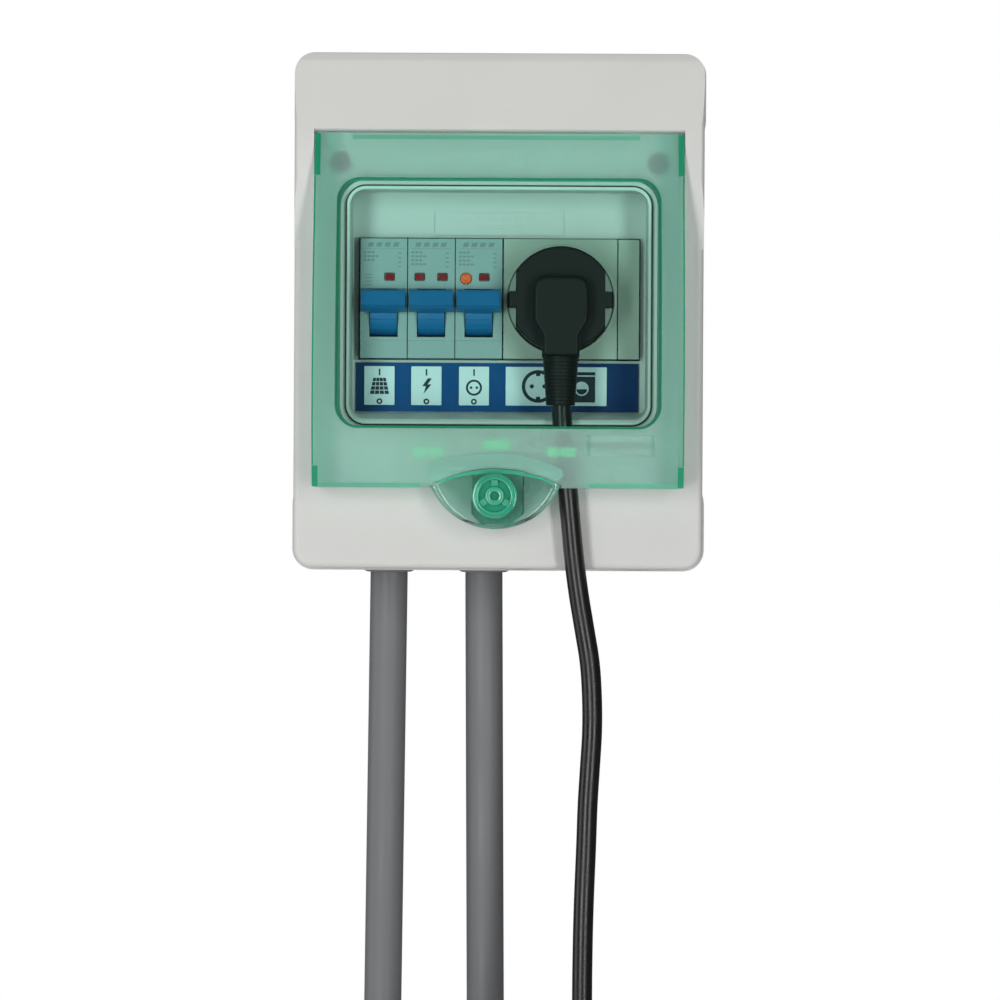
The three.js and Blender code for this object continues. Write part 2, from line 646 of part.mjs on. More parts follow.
function strainRelief() {
  const { top, bottom, topRadius, bottomRadius, topDepth, bottomDepth } = relief;
  const length = Math.hypot(top - bottom, bottomDepth - topDepth);
  let sleeve = rod('z', bottomRadius, 0, length, [0, 0, 0], 12, topRadius);
  const grooves = 4;
  for (let i = 0; i < grooves; i += 1) {
    const z = 3 + (i * (length - 7)) / grooves;
    const ring = cut(
      rod('z', topRadius + 1, z, z + 1.4, [0, 0, 0], 12),
      rod('z', bottomRadius - 0.9, z - 1, z + 3, [0, 0, 0], 12, bottomRadius - 0.6),
    );
    sleeve = cut(sleeve, ring);
  }
  return { sleeve, lean: Math.atan2(bottomDepth - topDepth, top - bottom) };
}

function addPlug() {
  addPiece('plug_body', plugBody(), plain(blackPlastic, 0.5));
  const { sleeve, lean } = strainRelief();
  const group = addGroup(plug.x, relief.bottomDepth, relief.bottom);
  const boot = addPiece('plug_relief', sleeve, plain(blackPlastic, 0.55), group);
  boot.rotation.x = -lean;
  for (const [place, side] of [['left', -1], ['right', 1]]) {
    const x = plug.x + side * plugPin.spread;
    const pin = rod('depth', plugPin.radius, plugPin.tip, plug.back - gap, [x, 0, plug.z], 16);
    addPiece(`plug_pin_${place}`, pin, plain(0xc9c7bf, 0.25, 0.95));
  }
}

// The outer shape of the wound turns: a ring about an axis that points out of the wall.
function coilRing() {
  const { radius, halfRadial, halfAxial, bevel } = coil;
  const r0 = radius - halfRadial;
  const r1 = radius + halfRadial;
  const section = [
    [r0 + bevel, -halfAxial], [r1 - bevel, -halfAxial], [r1, -halfAxial + bevel], [r1, halfAxial - bevel],
    [r1 - bevel, halfAxial], [r0 + bevel, halfAxial], [r0, halfAxial - bevel], [r0, -halfAxial + bevel],
    [r0 + bevel, -halfAxial],
  ];
  return solidOf(new THREE.LatheGeometry(section.map(([r, y]) => new THREE.Vector2(r, y)), 32));
}

function coilTie() {
  const { radius, halfRadial, halfAxial } = coil;
  const { thick, width } = tie;
  const radial = halfRadial + gap + 0.1;
  const axial = halfAxial + gap;
  const outer = block([radius - radial - thick, radius + radial + thick], [-axial - thick, axial + thick],
    [-width / 2, width / 2]);
  const inner = block([radius - radial, radius + radial], [-axial, axial], [-width, width]);
  return cut(outer, inner);
}

// Three bare cores that leave a short length of sheath, hanging straight down from the origin.
function coreBundle(sheathRadius, sheathLength, core, coreSpread, coreLength) {
  let bundle = rod('z', sheathRadius, -sheathLength, 0, [0, 0, 0], 16);
  for (let i = 0; i < 3; i += 1) {
    const angle = (i * 2 * Math.PI) / 3 + Math.PI / 2;
    const place = [coreSpread * Math.cos(angle), coreSpread * Math.sin(angle), 0];
    bundle = join(bundle, rod('z', core, -sheathLength - coreLength, -sheathLength + 0.5, place, 8));
  }
  return bundle;
}

function addCord() {
  const black = plain(blackPlastic, 0.45);
  addPiece('cord', tube(cordRoute, cordRadius, 8, 28), black);
  const centre = addGroup(coil.x, coil.depth, coil.z);
  addPiece('cord_coil', coilRing(), plain(blackPlastic, 0.45), centre);
  const strap = addPiece('coil_tie', coilTie(), plain(0x2c2c2c, 0.6), centre);
  strap.rotation.y = -THREE.MathUtils.degToRad(tie.angle);
  const end = addGroup(tail.x, tail.depth, tail.top);
  const coreLength = tail.sheathEnd - tail.coreEnd;
  const cores = coreBundle(cordRadius, tail.top - tail.sheathEnd, tail.core, tail.coreSpread, coreLength);
  addPiece('cord_end', cores, plain(blackPlastic, 0.5), end);
}

function grommetRing() {
  const { bore, waist, flange, lip, inside } = grommet;
  const outerFace = -base.halfHeight;
  const innerFace = -base.halfHeight + base.wall;
  const section = [
    [bore, outerFace - gap - lip], [flange - 0.8, outerFace - gap - lip], [flange, outerFace - gap],
    [waist, outerFace - gap], [waist, innerFace + gap], [flange, innerFace + gap],
    [flange, innerFace + inside], [bore, innerFace + inside], [bore, outerFace - gap - lip],
  ];
  const geometry = new THREE.LatheGeometry(section.map(([r, y]) => new THREE.Vector2(r, y)), 20);
  geometry.rotateX(Math.PI / 2);
  return solidOf(geometry);
}

function addCables() {
  for (const { name, topX, endX } of cables) {
    const slope = (endX - topX) / (cable.end + base.halfHeight);
    const atHeight = (z) => topX + slope * Math.min(0, z + base.halfHeight);
    const heights = [cable.inner, -97, -107, -140, -180, -220, -250, cable.end];
    const route = heights.map((z) => [atHeight(z), cable.depth, z]);
    addPiece(`cable_${name}`, tube(route, cable.radius, 10, 9), plain(0x7d8082, 0.5));
    const end = addGroup(endX, cable.depth, cable.end - gap);
    const cores = coreBundle(cable.radius - 1.2, 1.5, cable.core, cable.coreSpread, cable.coreLength);
    addPiece(`cable_${name}_cores`, cores, plain(0x5b3a22, 0.5), end);
    addPiece(`grommet_${name}`, grommetRing(), plain(0x55585a, 0.7), addGroup(topX, cable.depth, 0));
  }
}

// ---- Door, latch plate and lock ----

// The door's outer face from the side, in (depth, z), drawn back to `back`.
function doorSide(back, top, bottom, inset) {
  const { topDepth, bulgeDepth, bulgeZ, bottomDepth } = door;
  const shape = new THREE.Shape();
  shape.moveTo(back, top);
  shape.lineTo(back, bottom);
  shape.lineTo(bottomDepth - inset, bottom);
  shape.bezierCurveTo(
    bulgeDepth - 2.4 - inset, bottom + 10,
    bulgeDepth - inset, bulgeZ - 12,
    bulgeDepth - inset, bulgeZ,
  );
  shape.bezierCurveTo(
    bulgeDepth - inset, bulgeZ + 34,
    topDepth + 6.5 - inset, top - 26,
    topDepth - inset, top,
  );
  shape.closePath();
  return shape;
}

// The latch plate's outline: two arcs that meet at a tip on each side.
function eyeShape(grow) {
  const { x, tipZ, halfWidth, rise, drop } = latch;
  const half = halfWidth + grow;
  const shape = new THREE.Shape();
  const arc = (height) => {
    const radius = (half * half + height * height) / (2 * height);
    return { radius, angle: Math.asin(half / radius) };
  };
  const upper = arc(rise + grow);
  const lower = arc(drop + grow);
  const mid = Math.PI / 2;
  shape.absarc(x, tipZ + rise + grow - upper.radius, upper.radius, mid - upper.angle, mid + upper.angle);
  shape.absarc(x, tipZ - drop - grow + lower.radius, lower.radius, -mid - lower.angle, -mid + lower.angle);
  return shape;
}

function doorShell() {
  const { halfWidth, top, bottom, corner, wall, skirt, back } = door;
  const outline = roundedRectangle(halfWidth, bottom, top, corner);
  const full = fromSide(doorSide(back, top, bottom, 0), -halfWidth, halfWidth, 10);
  const outer = full.intersect(fromFront(outline, back - 1, 120, 0, 2));
  const hollow = fromSide(doorSide(back - 1, top - skirt, bottom + skirt, wall), -halfWidth + skirt,
    halfWidth - skirt, 10);
  const ribShape = roundedRectangle(rib.halfWidth, rib.bottom, rib.top, rib.corner);
  const ribOuter = fromFront(ribShape, rib.back, 120, 0, 3);
  const inner = roundedRectangle(rib.halfWidth - rib.thick, rib.bottom + rib.thick, rib.top - rib.thick,
    rib.corner - rib.thick);
  const ribRing = cut(ribOuter, fromFront(inner, rib.back - 1, 121, 0, 3)).intersect(full);
  let shell = join(cut(outer, hollow), ribRing);
  for (const side of [-1, 1]) {
    const span = [side * hinge.inner, side * (halfWidth - 0.01)].sort((a, b) => a - b);
    const at = [0, hinge.depth, hinge.z];
    const boss = rod('x', hinge.boss, span[0], span[1], at, 16);
    const [from, to] = side < 0 ? [-80, -hinge.inner - 1] : [hinge.inner + 1, 80];
    const hole = rod('x', hinge.hole, from, to, at, 12);
    shell = cut(join(shell, boss), hole);
  }
  const { x, half, front } = cordNotch;
  shell = cut(shell, block([x - half, x + half], [back - 2, front], [bottom - 1, rib.bottom + 3]));
  shell = cut(shell, fromFront(eyeShape(gap), back - 2, 130, 0, 6));
  return shell;
}

function latchPlate() {
  const plate = fromFront(eyeShape(0), latch.back, latch.front, latch.edge, 6);
  return cut(plate, rod('depth', knob.hole, latch.back - 1, latch.front + 1, [knob.x, 0, knob.z], 20));
}

// The knob is a ring and a hub joined by three spokes, on a shaft that runs back to the cam.
function knobSolid() {
  const { radius, ring, hub, spoke, back, front, shaft } = knob;
  const at = [0, 0, 0];
  let solid = cut(
    rod('depth', radius, back, front, at, 28),
    rod('depth', radius - ring, back + 1.6, front + 1, at, 24),
  );
  solid = join(solid, rod('depth', hub, back, front - 0.4, at, 20));
  solid = join(solid, rod('depth', shaft, cam.front + gap, back + 0.5, at, 16));
  for (let i = 0; i < 3; i += 1) {
    const arm = block([-spoke / 2, spoke / 2], [back, front - 1.2], [0, radius - 1]);
    solid = join(solid, arm.rotate([0, i * 120, 0]));
  }
  return solid;
}

function addDoor() {
  addPiece('door_shell', doorShell(), clear(0x35a883, 0.45));
  addPiece('latch_plate', latchPlate(), clear(0xbfe6da, 0.35));
  for (const [place, side] of [['left', -1], ['right', 1]]) {
    const ends = [side * (hinge.inner + 1.4), side * hinge.outer].sort((a, b) => a - b);
    const pin = rod('x', hinge.pin, ends[0], ends[1], [0, hinge.depth, hinge.z], 12);
    addPiece(`hinge_pin_${place}`, pin, plain(steel, 0.3, 0.9));
  }
  const lock = addGroup(knob.x, 0, knob.z);
  addPiece('lock_knob', knobSolid(), clear(0x3fc79a, 0.6), lock);
  const { back, front, halfLength, halfWidth } = cam;
  const lobes = join(
    block([-halfLength, halfLength], [back, front], [-halfWidth, halfWidth]),
    rod('depth', 4, back, front, [0, 0, 0], 20),
  );
  addPiece('lock_cam', lobes.intersect(rod('depth', halfLength, back - 1, front + 1, [0, 0, 0], 28)),
    plain(0x3a3a3a, 0.5), lock);
}

addHousing();
addRailAndBars();
addWires();
addBreakers();
addSocket();
addFiller();
addLabels();
addPlug();
addCord();
addCables();
addDoor();

export default box;
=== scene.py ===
import math

import bmesh
import bpy
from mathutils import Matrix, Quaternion, Vector


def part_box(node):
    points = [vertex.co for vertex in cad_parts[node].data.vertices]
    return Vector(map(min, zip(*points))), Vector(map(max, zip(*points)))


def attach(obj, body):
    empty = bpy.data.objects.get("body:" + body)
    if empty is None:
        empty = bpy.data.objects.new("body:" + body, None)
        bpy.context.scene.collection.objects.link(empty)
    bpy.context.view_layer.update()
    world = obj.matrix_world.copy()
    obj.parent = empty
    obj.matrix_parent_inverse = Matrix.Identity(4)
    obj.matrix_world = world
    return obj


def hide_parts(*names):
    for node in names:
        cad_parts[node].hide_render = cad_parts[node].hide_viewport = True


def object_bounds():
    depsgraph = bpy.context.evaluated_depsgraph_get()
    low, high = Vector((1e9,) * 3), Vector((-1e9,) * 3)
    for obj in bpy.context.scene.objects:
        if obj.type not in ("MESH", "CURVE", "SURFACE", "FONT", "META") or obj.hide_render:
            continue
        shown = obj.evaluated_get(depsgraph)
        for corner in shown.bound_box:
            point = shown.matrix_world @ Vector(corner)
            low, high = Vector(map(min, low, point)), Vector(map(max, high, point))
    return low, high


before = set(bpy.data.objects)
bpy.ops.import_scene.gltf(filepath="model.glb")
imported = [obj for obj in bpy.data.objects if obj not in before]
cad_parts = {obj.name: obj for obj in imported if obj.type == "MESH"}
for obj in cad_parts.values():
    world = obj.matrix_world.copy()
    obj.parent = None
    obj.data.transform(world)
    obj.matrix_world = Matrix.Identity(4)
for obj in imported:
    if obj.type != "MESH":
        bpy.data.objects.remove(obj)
cad_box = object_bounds()

# Lengths are in millimetres until they meet a mesh. A point is (x, depth, z), and depth is the
# distance in front of the wall, so y is minus the depth.
MM = 0.001
EPS = 0.02  # keeps two touching faces apart


def point(x, depth, z):
    return Vector((x, -depth, z)) * MM


def span(node):
    """(x0, x1), (depth0, depth1), (z0, z1) of a CAD node, in millimetres."""
    low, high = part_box(node)
    return (low.x / MM, high.x / MM), (-high.y / MM, -low.y / MM), (low.z / MM, high.z / MM)


# ---- Camera ----

LENS, SENSOR = 148.25, 36.0
CAMERA = (7.0, 1637.0, -72.5)
AIM = (0.7, 50.0, -72.5)
ROLL = 0.32  # degrees


def make_camera():
    data = bpy.data.cameras.new("camera")
    data.lens, data.sensor_width = LENS, SENSOR
    data.clip_start, data.clip_end = 0.05, 20
    camera = bpy.data.objects.new("camera", data)
    bpy.context.scene.collection.objects.link(camera)
    camera.location = point(*CAMERA)
    look = (point(*AIM) - point(*CAMERA)).to_track_quat("-Z", "Y")
    camera.rotation_mode = "QUATERNION"
    camera.rotation_quaternion = look @ Quaternion((0, 0, 1), math.radians(ROLL))
    bpy.context.scene.camera = camera


# ---- Materials ----


def linear(colour):
    """An sRGB colour given as 0 to 255, as linear RGBA."""
    channels = [c / 255 for c in colour]
    return (*[c / 12.92 if c < 0.04045 else ((c + 0.055) / 1.055) ** 2.4 for c in channels], 1.0)


class Nodes:
    """A new material with its node tree, and short ways to add and join nodes."""

    def __init__(self, name):
        self.material = bpy.data.materials.new(name)
        self.material.use_nodes = True
        self.tree = self.material.node_tree
        self.tree.nodes.clear()
        self.output = self.add("ShaderNodeOutputMaterial")

    def add(self, kind, **settings):
        node = self.tree.nodes.new(kind)
        for key, value in settings.items():
            setattr(node, key, value)
        return node

    def join(self, source, target):
        self.tree.links.new(source, target)

    def noise(self, scale, detail=3.0, stretch=(1, 1, 1)):
        where = self.add("ShaderNodeTexCoord")
        place = self.add("ShaderNodeMapping")
        place.inputs["Scale"].default_value = stretch
        self.join(where.outputs["Object"], place.inputs["Vector"])
        texture = self.add("ShaderNodeTexNoise")
        texture.inputs["Scale"].default_value = scale
        texture.inputs["Detail"].default_value = detail
        self.join(place.outputs["Vector"], texture.inputs["Vector"])
        return texture.outputs["Fac"]

    def ramp(self, value, stops):
        ramp = self.add("ShaderNodeValToRGB")
        elements = ramp.color_ramp.elements
        while len(elements) < len(stops):
            elements.new(0.5)
        for element, (position, colour) in zip(elements, stops):
            element.position, element.color = position, colour
        self.join(value, ramp.inputs["Fac"])
        return ramp.outputs["Color"]

    def painted_side_shade(self, colour):
        """The colour, darkened towards the piece's left and right ends: painted shade near the door's side
        walls.
        """
        where = self.add("ShaderNodeTexCoord")
        split = self.add("ShaderNodeSeparateXYZ")
        self.join(where.outputs["Generated"], split.inputs["Vector"])
        side_shade_tone, full = (0.7, 0.86, 0.82, 1.0), (1.0, 1.0, 1.0, 1.0)
        stops = [(0.0, full), (0.015, side_shade_tone), (0.05, side_shade_tone), (0.085, full), (0.915, full),
                 (0.95, side_shade_tone), (0.985, side_shade_tone), (1.0, full)]
        mix = self.add("ShaderNodeMixRGB", blend_type="MULTIPLY")
        mix.inputs["Fac"].default_value = 1.0
        self.join(colour, mix.inputs["Color1"])
        self.join(self.ramp(split.outputs["X"], stops), mix.inputs["Color2"])
        return mix.outputs["Color"]

    def bump(self, height, strength, distance):
        bump = self.add("ShaderNodeBump")
        bump.inputs["Strength"].default_value = strength
        bump.inputs["Distance"].default_value = distance * MM
        self.join(height, bump.inputs["Height"])
        return bump.outputs["Normal"]


def scaled(colour, factor):
    return (*[min(1.0, c * factor) for c in colour[:3]], 1.0)


def plastic(name, colour, roughness=0.45, grain=900, grain_depth=0.03, mottle=0.04, metallic=0.0,
            shine=0.5, stretch=(1, 1, 1), painted_glow=0.0):
    """Moulded plastic or metal: a fine grain, faint mottling, and gloss that varies a little. Painted glow,
    where given, is emission: painted light on a part that is no lamp.
    """
    n = Nodes(name)
    shader = n.add("ShaderNodeBsdfPrincipled")
    base = linear(colour)
    cloudy = n.noise(35, 4, stretch)
    n.join(n.ramp(cloudy, [(0.3, scaled(base, 1 - mottle)), (0.7, scaled(base, 1 + mottle))]),
           shader.inputs["Base Color"])
    gloss = n.ramp(n.noise(160, 3, stretch), [(0.3, (max(0.02, roughness - 0.06),) * 3 + (1,)),
                                             (0.7, (roughness + 0.06,) * 3 + (1,))])
    n.join(gloss, shader.inputs["Roughness"])
    shader.inputs["Metallic"].default_value = metallic
    shader.inputs["Specular IOR Level"].default_value = shine
    shader.inputs["Emission Color"].default_value = base
    shader.inputs["Emission Strength"].default_value = painted_glow
    n.join(n.bump(n.noise(grain, 2, stretch), 0.6, grain_depth), shader.inputs["Normal"])
    n.join(shader.outputs["BSDF"], n.output.inputs["Surface"])
    return n.material


def absorb(n, loss, density):
    """Coloured depth: how much of red, green and blue each metre takes away, relative to density."""
    volume = n.add("ShaderNodeVolumeAbsorption")
    volume.inputs["Color"].default_value = (*[1 - c for c in loss], 1)
    volume.inputs["Density"].default_value = density
    n.join(volume.outputs["Volume"], n.output.inputs["Volume"])


GREEN_LOSS = (0.96, 0.08, 0.28)


def glass(name, density, roughness, haze, tint, grain=700, grain_depth=0.02, coat=0.0, painted_glow=0.0, rim=False):
    """See-through green plastic, polished or frosted, which deepens with its thickness.

    Haze is the share of the light that the dyed plastic scatters, in the colour of tint. Painted glow is
    emission:
    painted light that stands in for light the plastic gathers and passes on.
    """
    n = Nodes(name)
    shader = n.add("ShaderNodeBsdfPrincipled")
    colour = linear(tint)
    cloudy = n.noise(30, 3)
    tone = n.ramp(cloudy, [(0.3, scaled(colour, 0.97)), (0.7, colour)])
    # Rim adds painted shade: the colour darkens towards the piece's left and right ends.
    if rim:
        tone = n.painted_side_shade(tone)
    n.join(tone, shader.inputs["Base Color"])
    shader.inputs["Transmission Weight"].default_value = 1.0 - haze
    shader.inputs["IOR"].default_value = 1.46
    shader.inputs["Roughness"].default_value = roughness
    shader.inputs["Coat Weight"].default_value = coat
    shader.inputs["Emission Color"].default_value = colour
    shader.inputs["Emission Strength"].default_value = painted_glow
    n.join(n.bump(n.noise(grain, 3), 0.5, grain_depth), shader.inputs["Normal"])
    n.join(shader.outputs["BSDF"], n.output.inputs["Surface"])
    absorb(n, GREEN_LOSS, density)
    return n.material


def clear_pane(name, density, gloss):
    """Polished see-through plastic, thin enough that it doesn't bend what is seen through it."""
    n = Nodes(name)
    open_ = n.add("ShaderNodeBsdfTransparent")
    shine = n.add("ShaderNodeBsdfGlossy")
    shine.inputs["Roughness"].default_value = 0.06
    n.join(n.bump(n.noise(60, 2), 0.25, 0.05), shine.inputs["Normal"])
    fresnel = n.add("ShaderNodeFresnel")
    fresnel.inputs["IOR"].default_value = gloss
    mix = n.add("ShaderNodeMixShader")
    side = n.add("ShaderNodeNewGeometry")
    outer = n.add("ShaderNodeMath", operation="SUBTRACT", use_clamp=True)
    n.join(fresnel.outputs["Fac"], outer.inputs[0])
    n.join(side.outputs["Backfacing"], outer.inputs[1])
    n.join(outer.outputs["Value"], mix.inputs["Fac"])
    n.join(open_.outputs["BSDF"], mix.inputs[1])
    n.join(shine.outputs["BSDF"], mix.inputs[2])
    n.join(mix.outputs["Shader"], n.output.inputs["Surface"])
    absorb(n, GREEN_LOSS, density)
    return n.material


def strip_blue(name, left, middle, right):
    """The printed strip: blue that deepens towards its two ends."""
    n = Nodes(name)
    (x0, x1), _, _ = span("label_strip")
    where = n.add("ShaderNodeTexCoord")
    split = n.add("ShaderNodeSeparateXYZ")
    n.join(where.outputs["Object"], split.inputs["Vector"])
    along = n.add("ShaderNodeMapRange")
    along.inputs["From Min"].default_value = x0 * MM
    along.inputs["From Max"].default_value = x1 * MM
    n.join(split.outputs["X"], along.inputs["Value"])
    shader = n.add("ShaderNodeBsdfPrincipled")
    stops = [(0.0, linear(left)), (0.12, linear(middle)), (0.5, linear(middle)), (0.8, linear(right))]
    n.join(n.ramp(along.outputs["Result"], stops), shader.inputs["Base Color"])
    n.join(n.ramp(n.noise(200), [(0.3, (0.28,) * 3 + (1,)), (0.7, (0.4,) * 3 + (1,))]),
           shader.inputs["Roughness"])
    shader.inputs["Specular IOR Level"].default_value = 0.2
    n.join(n.bump(n.noise(500, 2), 0.3, 0.02), shader.inputs["Normal"])
    n.join(shader.outputs["BSDF"], n.output.inputs["Surface"])
    return n.material


# ---- Making meshes ----


def link(name, verts, faces):
    mesh = bpy.data.meshes.new(name)
    mesh.from_pydata(verts, [], faces)
    mesh.validate()
    obj = bpy.data.objects.new(name, mesh)
    bpy.context.scene.collection.objects.link(obj)
    return obj


def loft(loops, closed=False):
    """One closed solid through loops of equally many points: capped at its ends, or joined into a ring."""
    count = len(loops[0])
    verts = [point(*p) for loop in loops for p in loop]
    faces = []
    rows = len(loops) if closed else len(loops) - 1
    for row in range(rows):
        here, there = row * count, (row + 1) % len(loops) * count
        for i in range(count):
            j = (i + 1) % count
            faces.append((here + i, here + j, there + j, there + i))
    if not closed:
        faces.append(tuple(reversed(range(count))))
        faces.append(tuple(range((len(loops) - 1) * count, len(loops) * count)))
    obj = link("solid", verts, faces)
    face_out(obj)
    return obj


def face_out(obj):
    """Turns every face's front outwards."""
    bm = bmesh.new()
    bm.from_mesh(obj.data)
    bmesh.ops.recalc_face_normals(bm, faces=bm.faces)
    bm.to_mesh(obj.data)
    bm.free()


def arc(cx, cy, radius, start, end, steps):
    angles = [math.radians(start + (end - start) * i / steps) for i in range(steps + 1)]
    return [(cx + radius * math.cos(a), cy + radius * math.sin(a)) for a in angles]


def ring(half, bottom, top, corner, cx=0.0, steps=12):
    """An upright rounded rectangle in (x, z)."""
    corner = max(corner, 0.05)
    left, right = cx - half + corner, cx + half - corner
    low, high = bottom + corner, top - corner
    return (arc(right, low, corner, -90, 0, steps) + arc(right, high, corner, 0, 90, steps)
            + arc(left, high, corner, 90, 180, steps) + arc(left, low, corner, 180, 270, steps))


def box_outline(x0, x1, z0, z1):
    return [(x0, z0), (x1, z0), (x1, z1), (x0, z1)]


def circle(cx, cz, radius, sides=48):
    return [(cx + radius * math.cos(2 * math.pi * i / sides), cz + radius * math.sin(2 * math.pi * i / sides))
            for i in range(sides)]


def at_depth(outline, depth):
    return [(x, depth, z) for x, z in outline]


def prism(outline, d0, d1):
    """A front-view outline in (x, z), from one depth to another."""
    return loft([at_depth(outline, d0), at_depth(outline, d1)])


def hoop(outer, inner, d0, d1):
    """A ring-shaped solid between two outlines, from one depth to another."""
    loops = [at_depth(outer, d0), at_depth(outer, d1), at_depth(inner, d1), at_depth(inner, d0)]
    return loft(loops, closed=True)


def side_prism(outline, x0, x1):
    """A side-view outline in (depth, z), across X."""
    return loft([[(x, d, z) for d, z in outline] for x in (x0, x1)])


def block(x, d, z):
    return prism(box_outline(*x, *z), *d)


def pillow(outline_at, back, face, edge, steps=8):
    """A solid whose front edge is rounded. outline_at(inset) gives its outline, drawn in by inset."""
    loops = [at_depth(outline_at(0), back)]
    for i in range(steps + 1):
        a = math.pi / 2 * i / steps
        loops.append(at_depth(outline_at(edge * (1 - math.cos(a))), face - edge + edge * math.sin(a)))
    return loft(loops)


def turned(profile, axis, centre, sides=48):
    """A solid turned about an axis through centre.

    The profile is (radius, distance along the axis), and closes on itself or on the axis.
    """
    x, d, z = centre
    loops = []
    for i in range(sides):
        a = 2 * math.pi * i / sides
        c, s = math.cos(a), math.sin(a)
        if axis == "depth":
            loops.append([(x + r * c, d + t, z + r * s) for r, t in profile])
        elif axis == "z":
            loops.append([(x + r * c, d + r * s, z + t) for r, t in profile])
        else:
            loops.append([(x + t, d + r * c, z + r * s) for r, t in profile])
    return loft(loops, closed=True)


def rod(axis, radius, start, end, centre, sides=48):
    """A round rod along an axis ('x', 'depth' or 'z') through centre."""
    x, d, z = centre
    spin = circle(0, 0, radius, sides)
    loops = []
    for t in (start, end):
        if axis == "depth":
            loops.append([(x + a, t, z + b) for a, b in spin])
        elif axis == "z":
            loops.append([(x + a, d + b, t) for a, b in spin])
        else:
            loops.append([(t, d + a, z + b) for a, b in spin])
    return loft(loops)


def settle(obj):
    """Applies every modifier."""
    graph = bpy.context.evaluated_depsgraph_get()
    mesh = bpy.data.meshes.new_from_object(obj.evaluated_get(graph))
    obj.modifiers.clear()
    obj.data = mesh
    return obj


def combine(body, operation, *tools):
    for tool in tools:
        modifier = body.modifiers.new("combine", "BOOLEAN")
        modifier.object, modifier.operation, modifier.solver = tool, operation, "MANIFOLD"
        settle(body)
        bpy.data.objects.remove(tool)
    return body


def cut(body, *tools):
    return combine(body, "DIFFERENCE", *tools)


def join(body, *tools):
    return combine(body, "UNION", *tools)


def common(body, *tools):
    return combine(body, "INTERSECT", *tools)


def together(*objs):
    """Several separate solids as one mesh."""
    verts, faces = [], []
    for obj in objs:
        start = len(verts)
        verts += [tuple(v.co) for v in obj.data.vertices]
        faces += [tuple(start + i for i in p.vertices) for p in obj.data.polygons]
        bpy.data.objects.remove(obj)
    return link("solid", verts, faces)


def piece(obj, name, body, material, nodes=(), bevel=0.0, segments=3, sharp=32):
    """Names a finished piece, softens its edges, gives it its body and finish, and hides the CAD nodes that it
    replaces.
    """
    if bevel:
        modifier = obj.modifiers.new("bevel", "BEVEL")
        modifier.width, modifier.segments = bevel * MM, segments
        modifier.limit_method, modifier.angle_limit = "ANGLE", math.radians(sharp)
        modifier.use_clamp_overlap = True
        settle(obj)
    obj.name = obj.data.name = name
    obj.data.materials.clear()
    obj.data.materials.append(material)
    for polygon in obj.data.polygons:
        polygon.use_smooth = True
        polygon.material_index = 0
    obj.data.set_sharp_from_angle(angle=math.radians(sharp + 6))
    normals = obj.modifiers.new("normals", "WEIGHTED_NORMAL")
    normals.keep_sharp = True
    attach(obj, body)
    if nodes:
        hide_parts(*nodes)
    return obj


def ink(outlines, depth, thick=0.05):
    """Printed shapes: each outline in (x, z) becomes a very thin raised solid."""
    return [prism(outline, depth - EPS, depth + thick) for outline in outlines]


def washer(cx, cz, inner, outer, d0, d1):
    profile = [(inner, 0), (outer, 0), (outer, d1 - d0), (inner, d1 - d0)]
    return turned(profile, "depth", (cx, d0, cz), 40)


# ---- Cords ----

CORD_RADIUS = 3.75
# The black cord from the plug's strain relief to the top of its coil.
CORD_ROUTE = [
    (23.6, 97.6, -37.3), (24.2, 98.9, -46), (25.2, 98.6, -57), (26.2, 97.8, -68.8),
    (27.5, 97.2, -82), (28.8, 96.8, -94.8), (30.5, 96.6, -107.5), (32.7, 96.5, -120.5),
    (34.8, 96.5, -133.3), (35.7, 96.5, -146.4), (35.8, 96.6, -159.2), (35.1, 96.8, -172),
    (34.3, 97, -186), (33.8, 97.4, -202), (33.2, 98.3, -218), (32.8, 99.8, -232),
    (32.6, 101.9, -244), (32.5, 104.2, -254), (32.6, 106.2, -263.2), (33.7, 107.3, -271.9),
    (36.8, 107.4, -280.1),
]
COIL_CENTRE, COIL_RADIUS = (17.1, 91.5, -309.5), 37.2
COIL_START, COIL_TURNS, POINTS_PER_TURN = 41.7, 5.116, 24
# The places that the turns take in the coil's section, as (outwards, forwards).
SIDE, LAYER = 3.9, 7.8
COIL_PLACES = [(-SIDE, LAYER), (SIDE, LAYER), (SIDE, 0), (-SIDE, 0), (-SIDE, -LAYER), (SIDE, -LAYER)]
STEP_ANGLE, STEP_EARLIER = 90, 30  # each change of place takes 90 degrees, and comes 30 sooner
LANDING_HEIGHT, LANDING_ANGLE = 7.1, 120
TAIL_END = -352
CABLE_RADIUS, CABLE_DEPTH, BOX_FOOT = 7.25, 32, -100
CABLE_HEIGHTS = (-88, -97, -107, -118, -130, -143, -157, -171, -186, -201, -216, -231, -245, -258, -271)


def smooth_step(t):
    t = min(1.0, max(0.0, t))
    return t * t * (3 - 2 * t)


def coil_points():
    """The wound turns: clockwise seen from the front, from the top right to three o'clock."""
    x, depth, z = COIL_CENTRE
    steps = round(COIL_TURNS * POINTS_PER_TURN)
    points = []
    for i in range(steps + 1):
        wound = 360 * COIL_TURNS * i / steps
        out, forward = COIL_PLACES[0]
        for k in range(1, len(COIL_PLACES)):
            step_start = 360 * k - STEP_EARLIER * k - 70
            share = smooth_step((wound - step_start) / STEP_ANGLE)
            out += (COIL_PLACES[k][0] - COIL_PLACES[k - 1][0]) * share
            forward += (COIL_PLACES[k][1] - COIL_PLACES[k - 1][1]) * share
        forward += LANDING_HEIGHT * (1 - smooth_step(wound / LANDING_ANGLE))
        a = math.radians(COIL_START - wound)
        r = COIL_RADIUS + out
        points.append((x + r * math.cos(a), depth + forward, z + r * math.sin(a)))
    return points


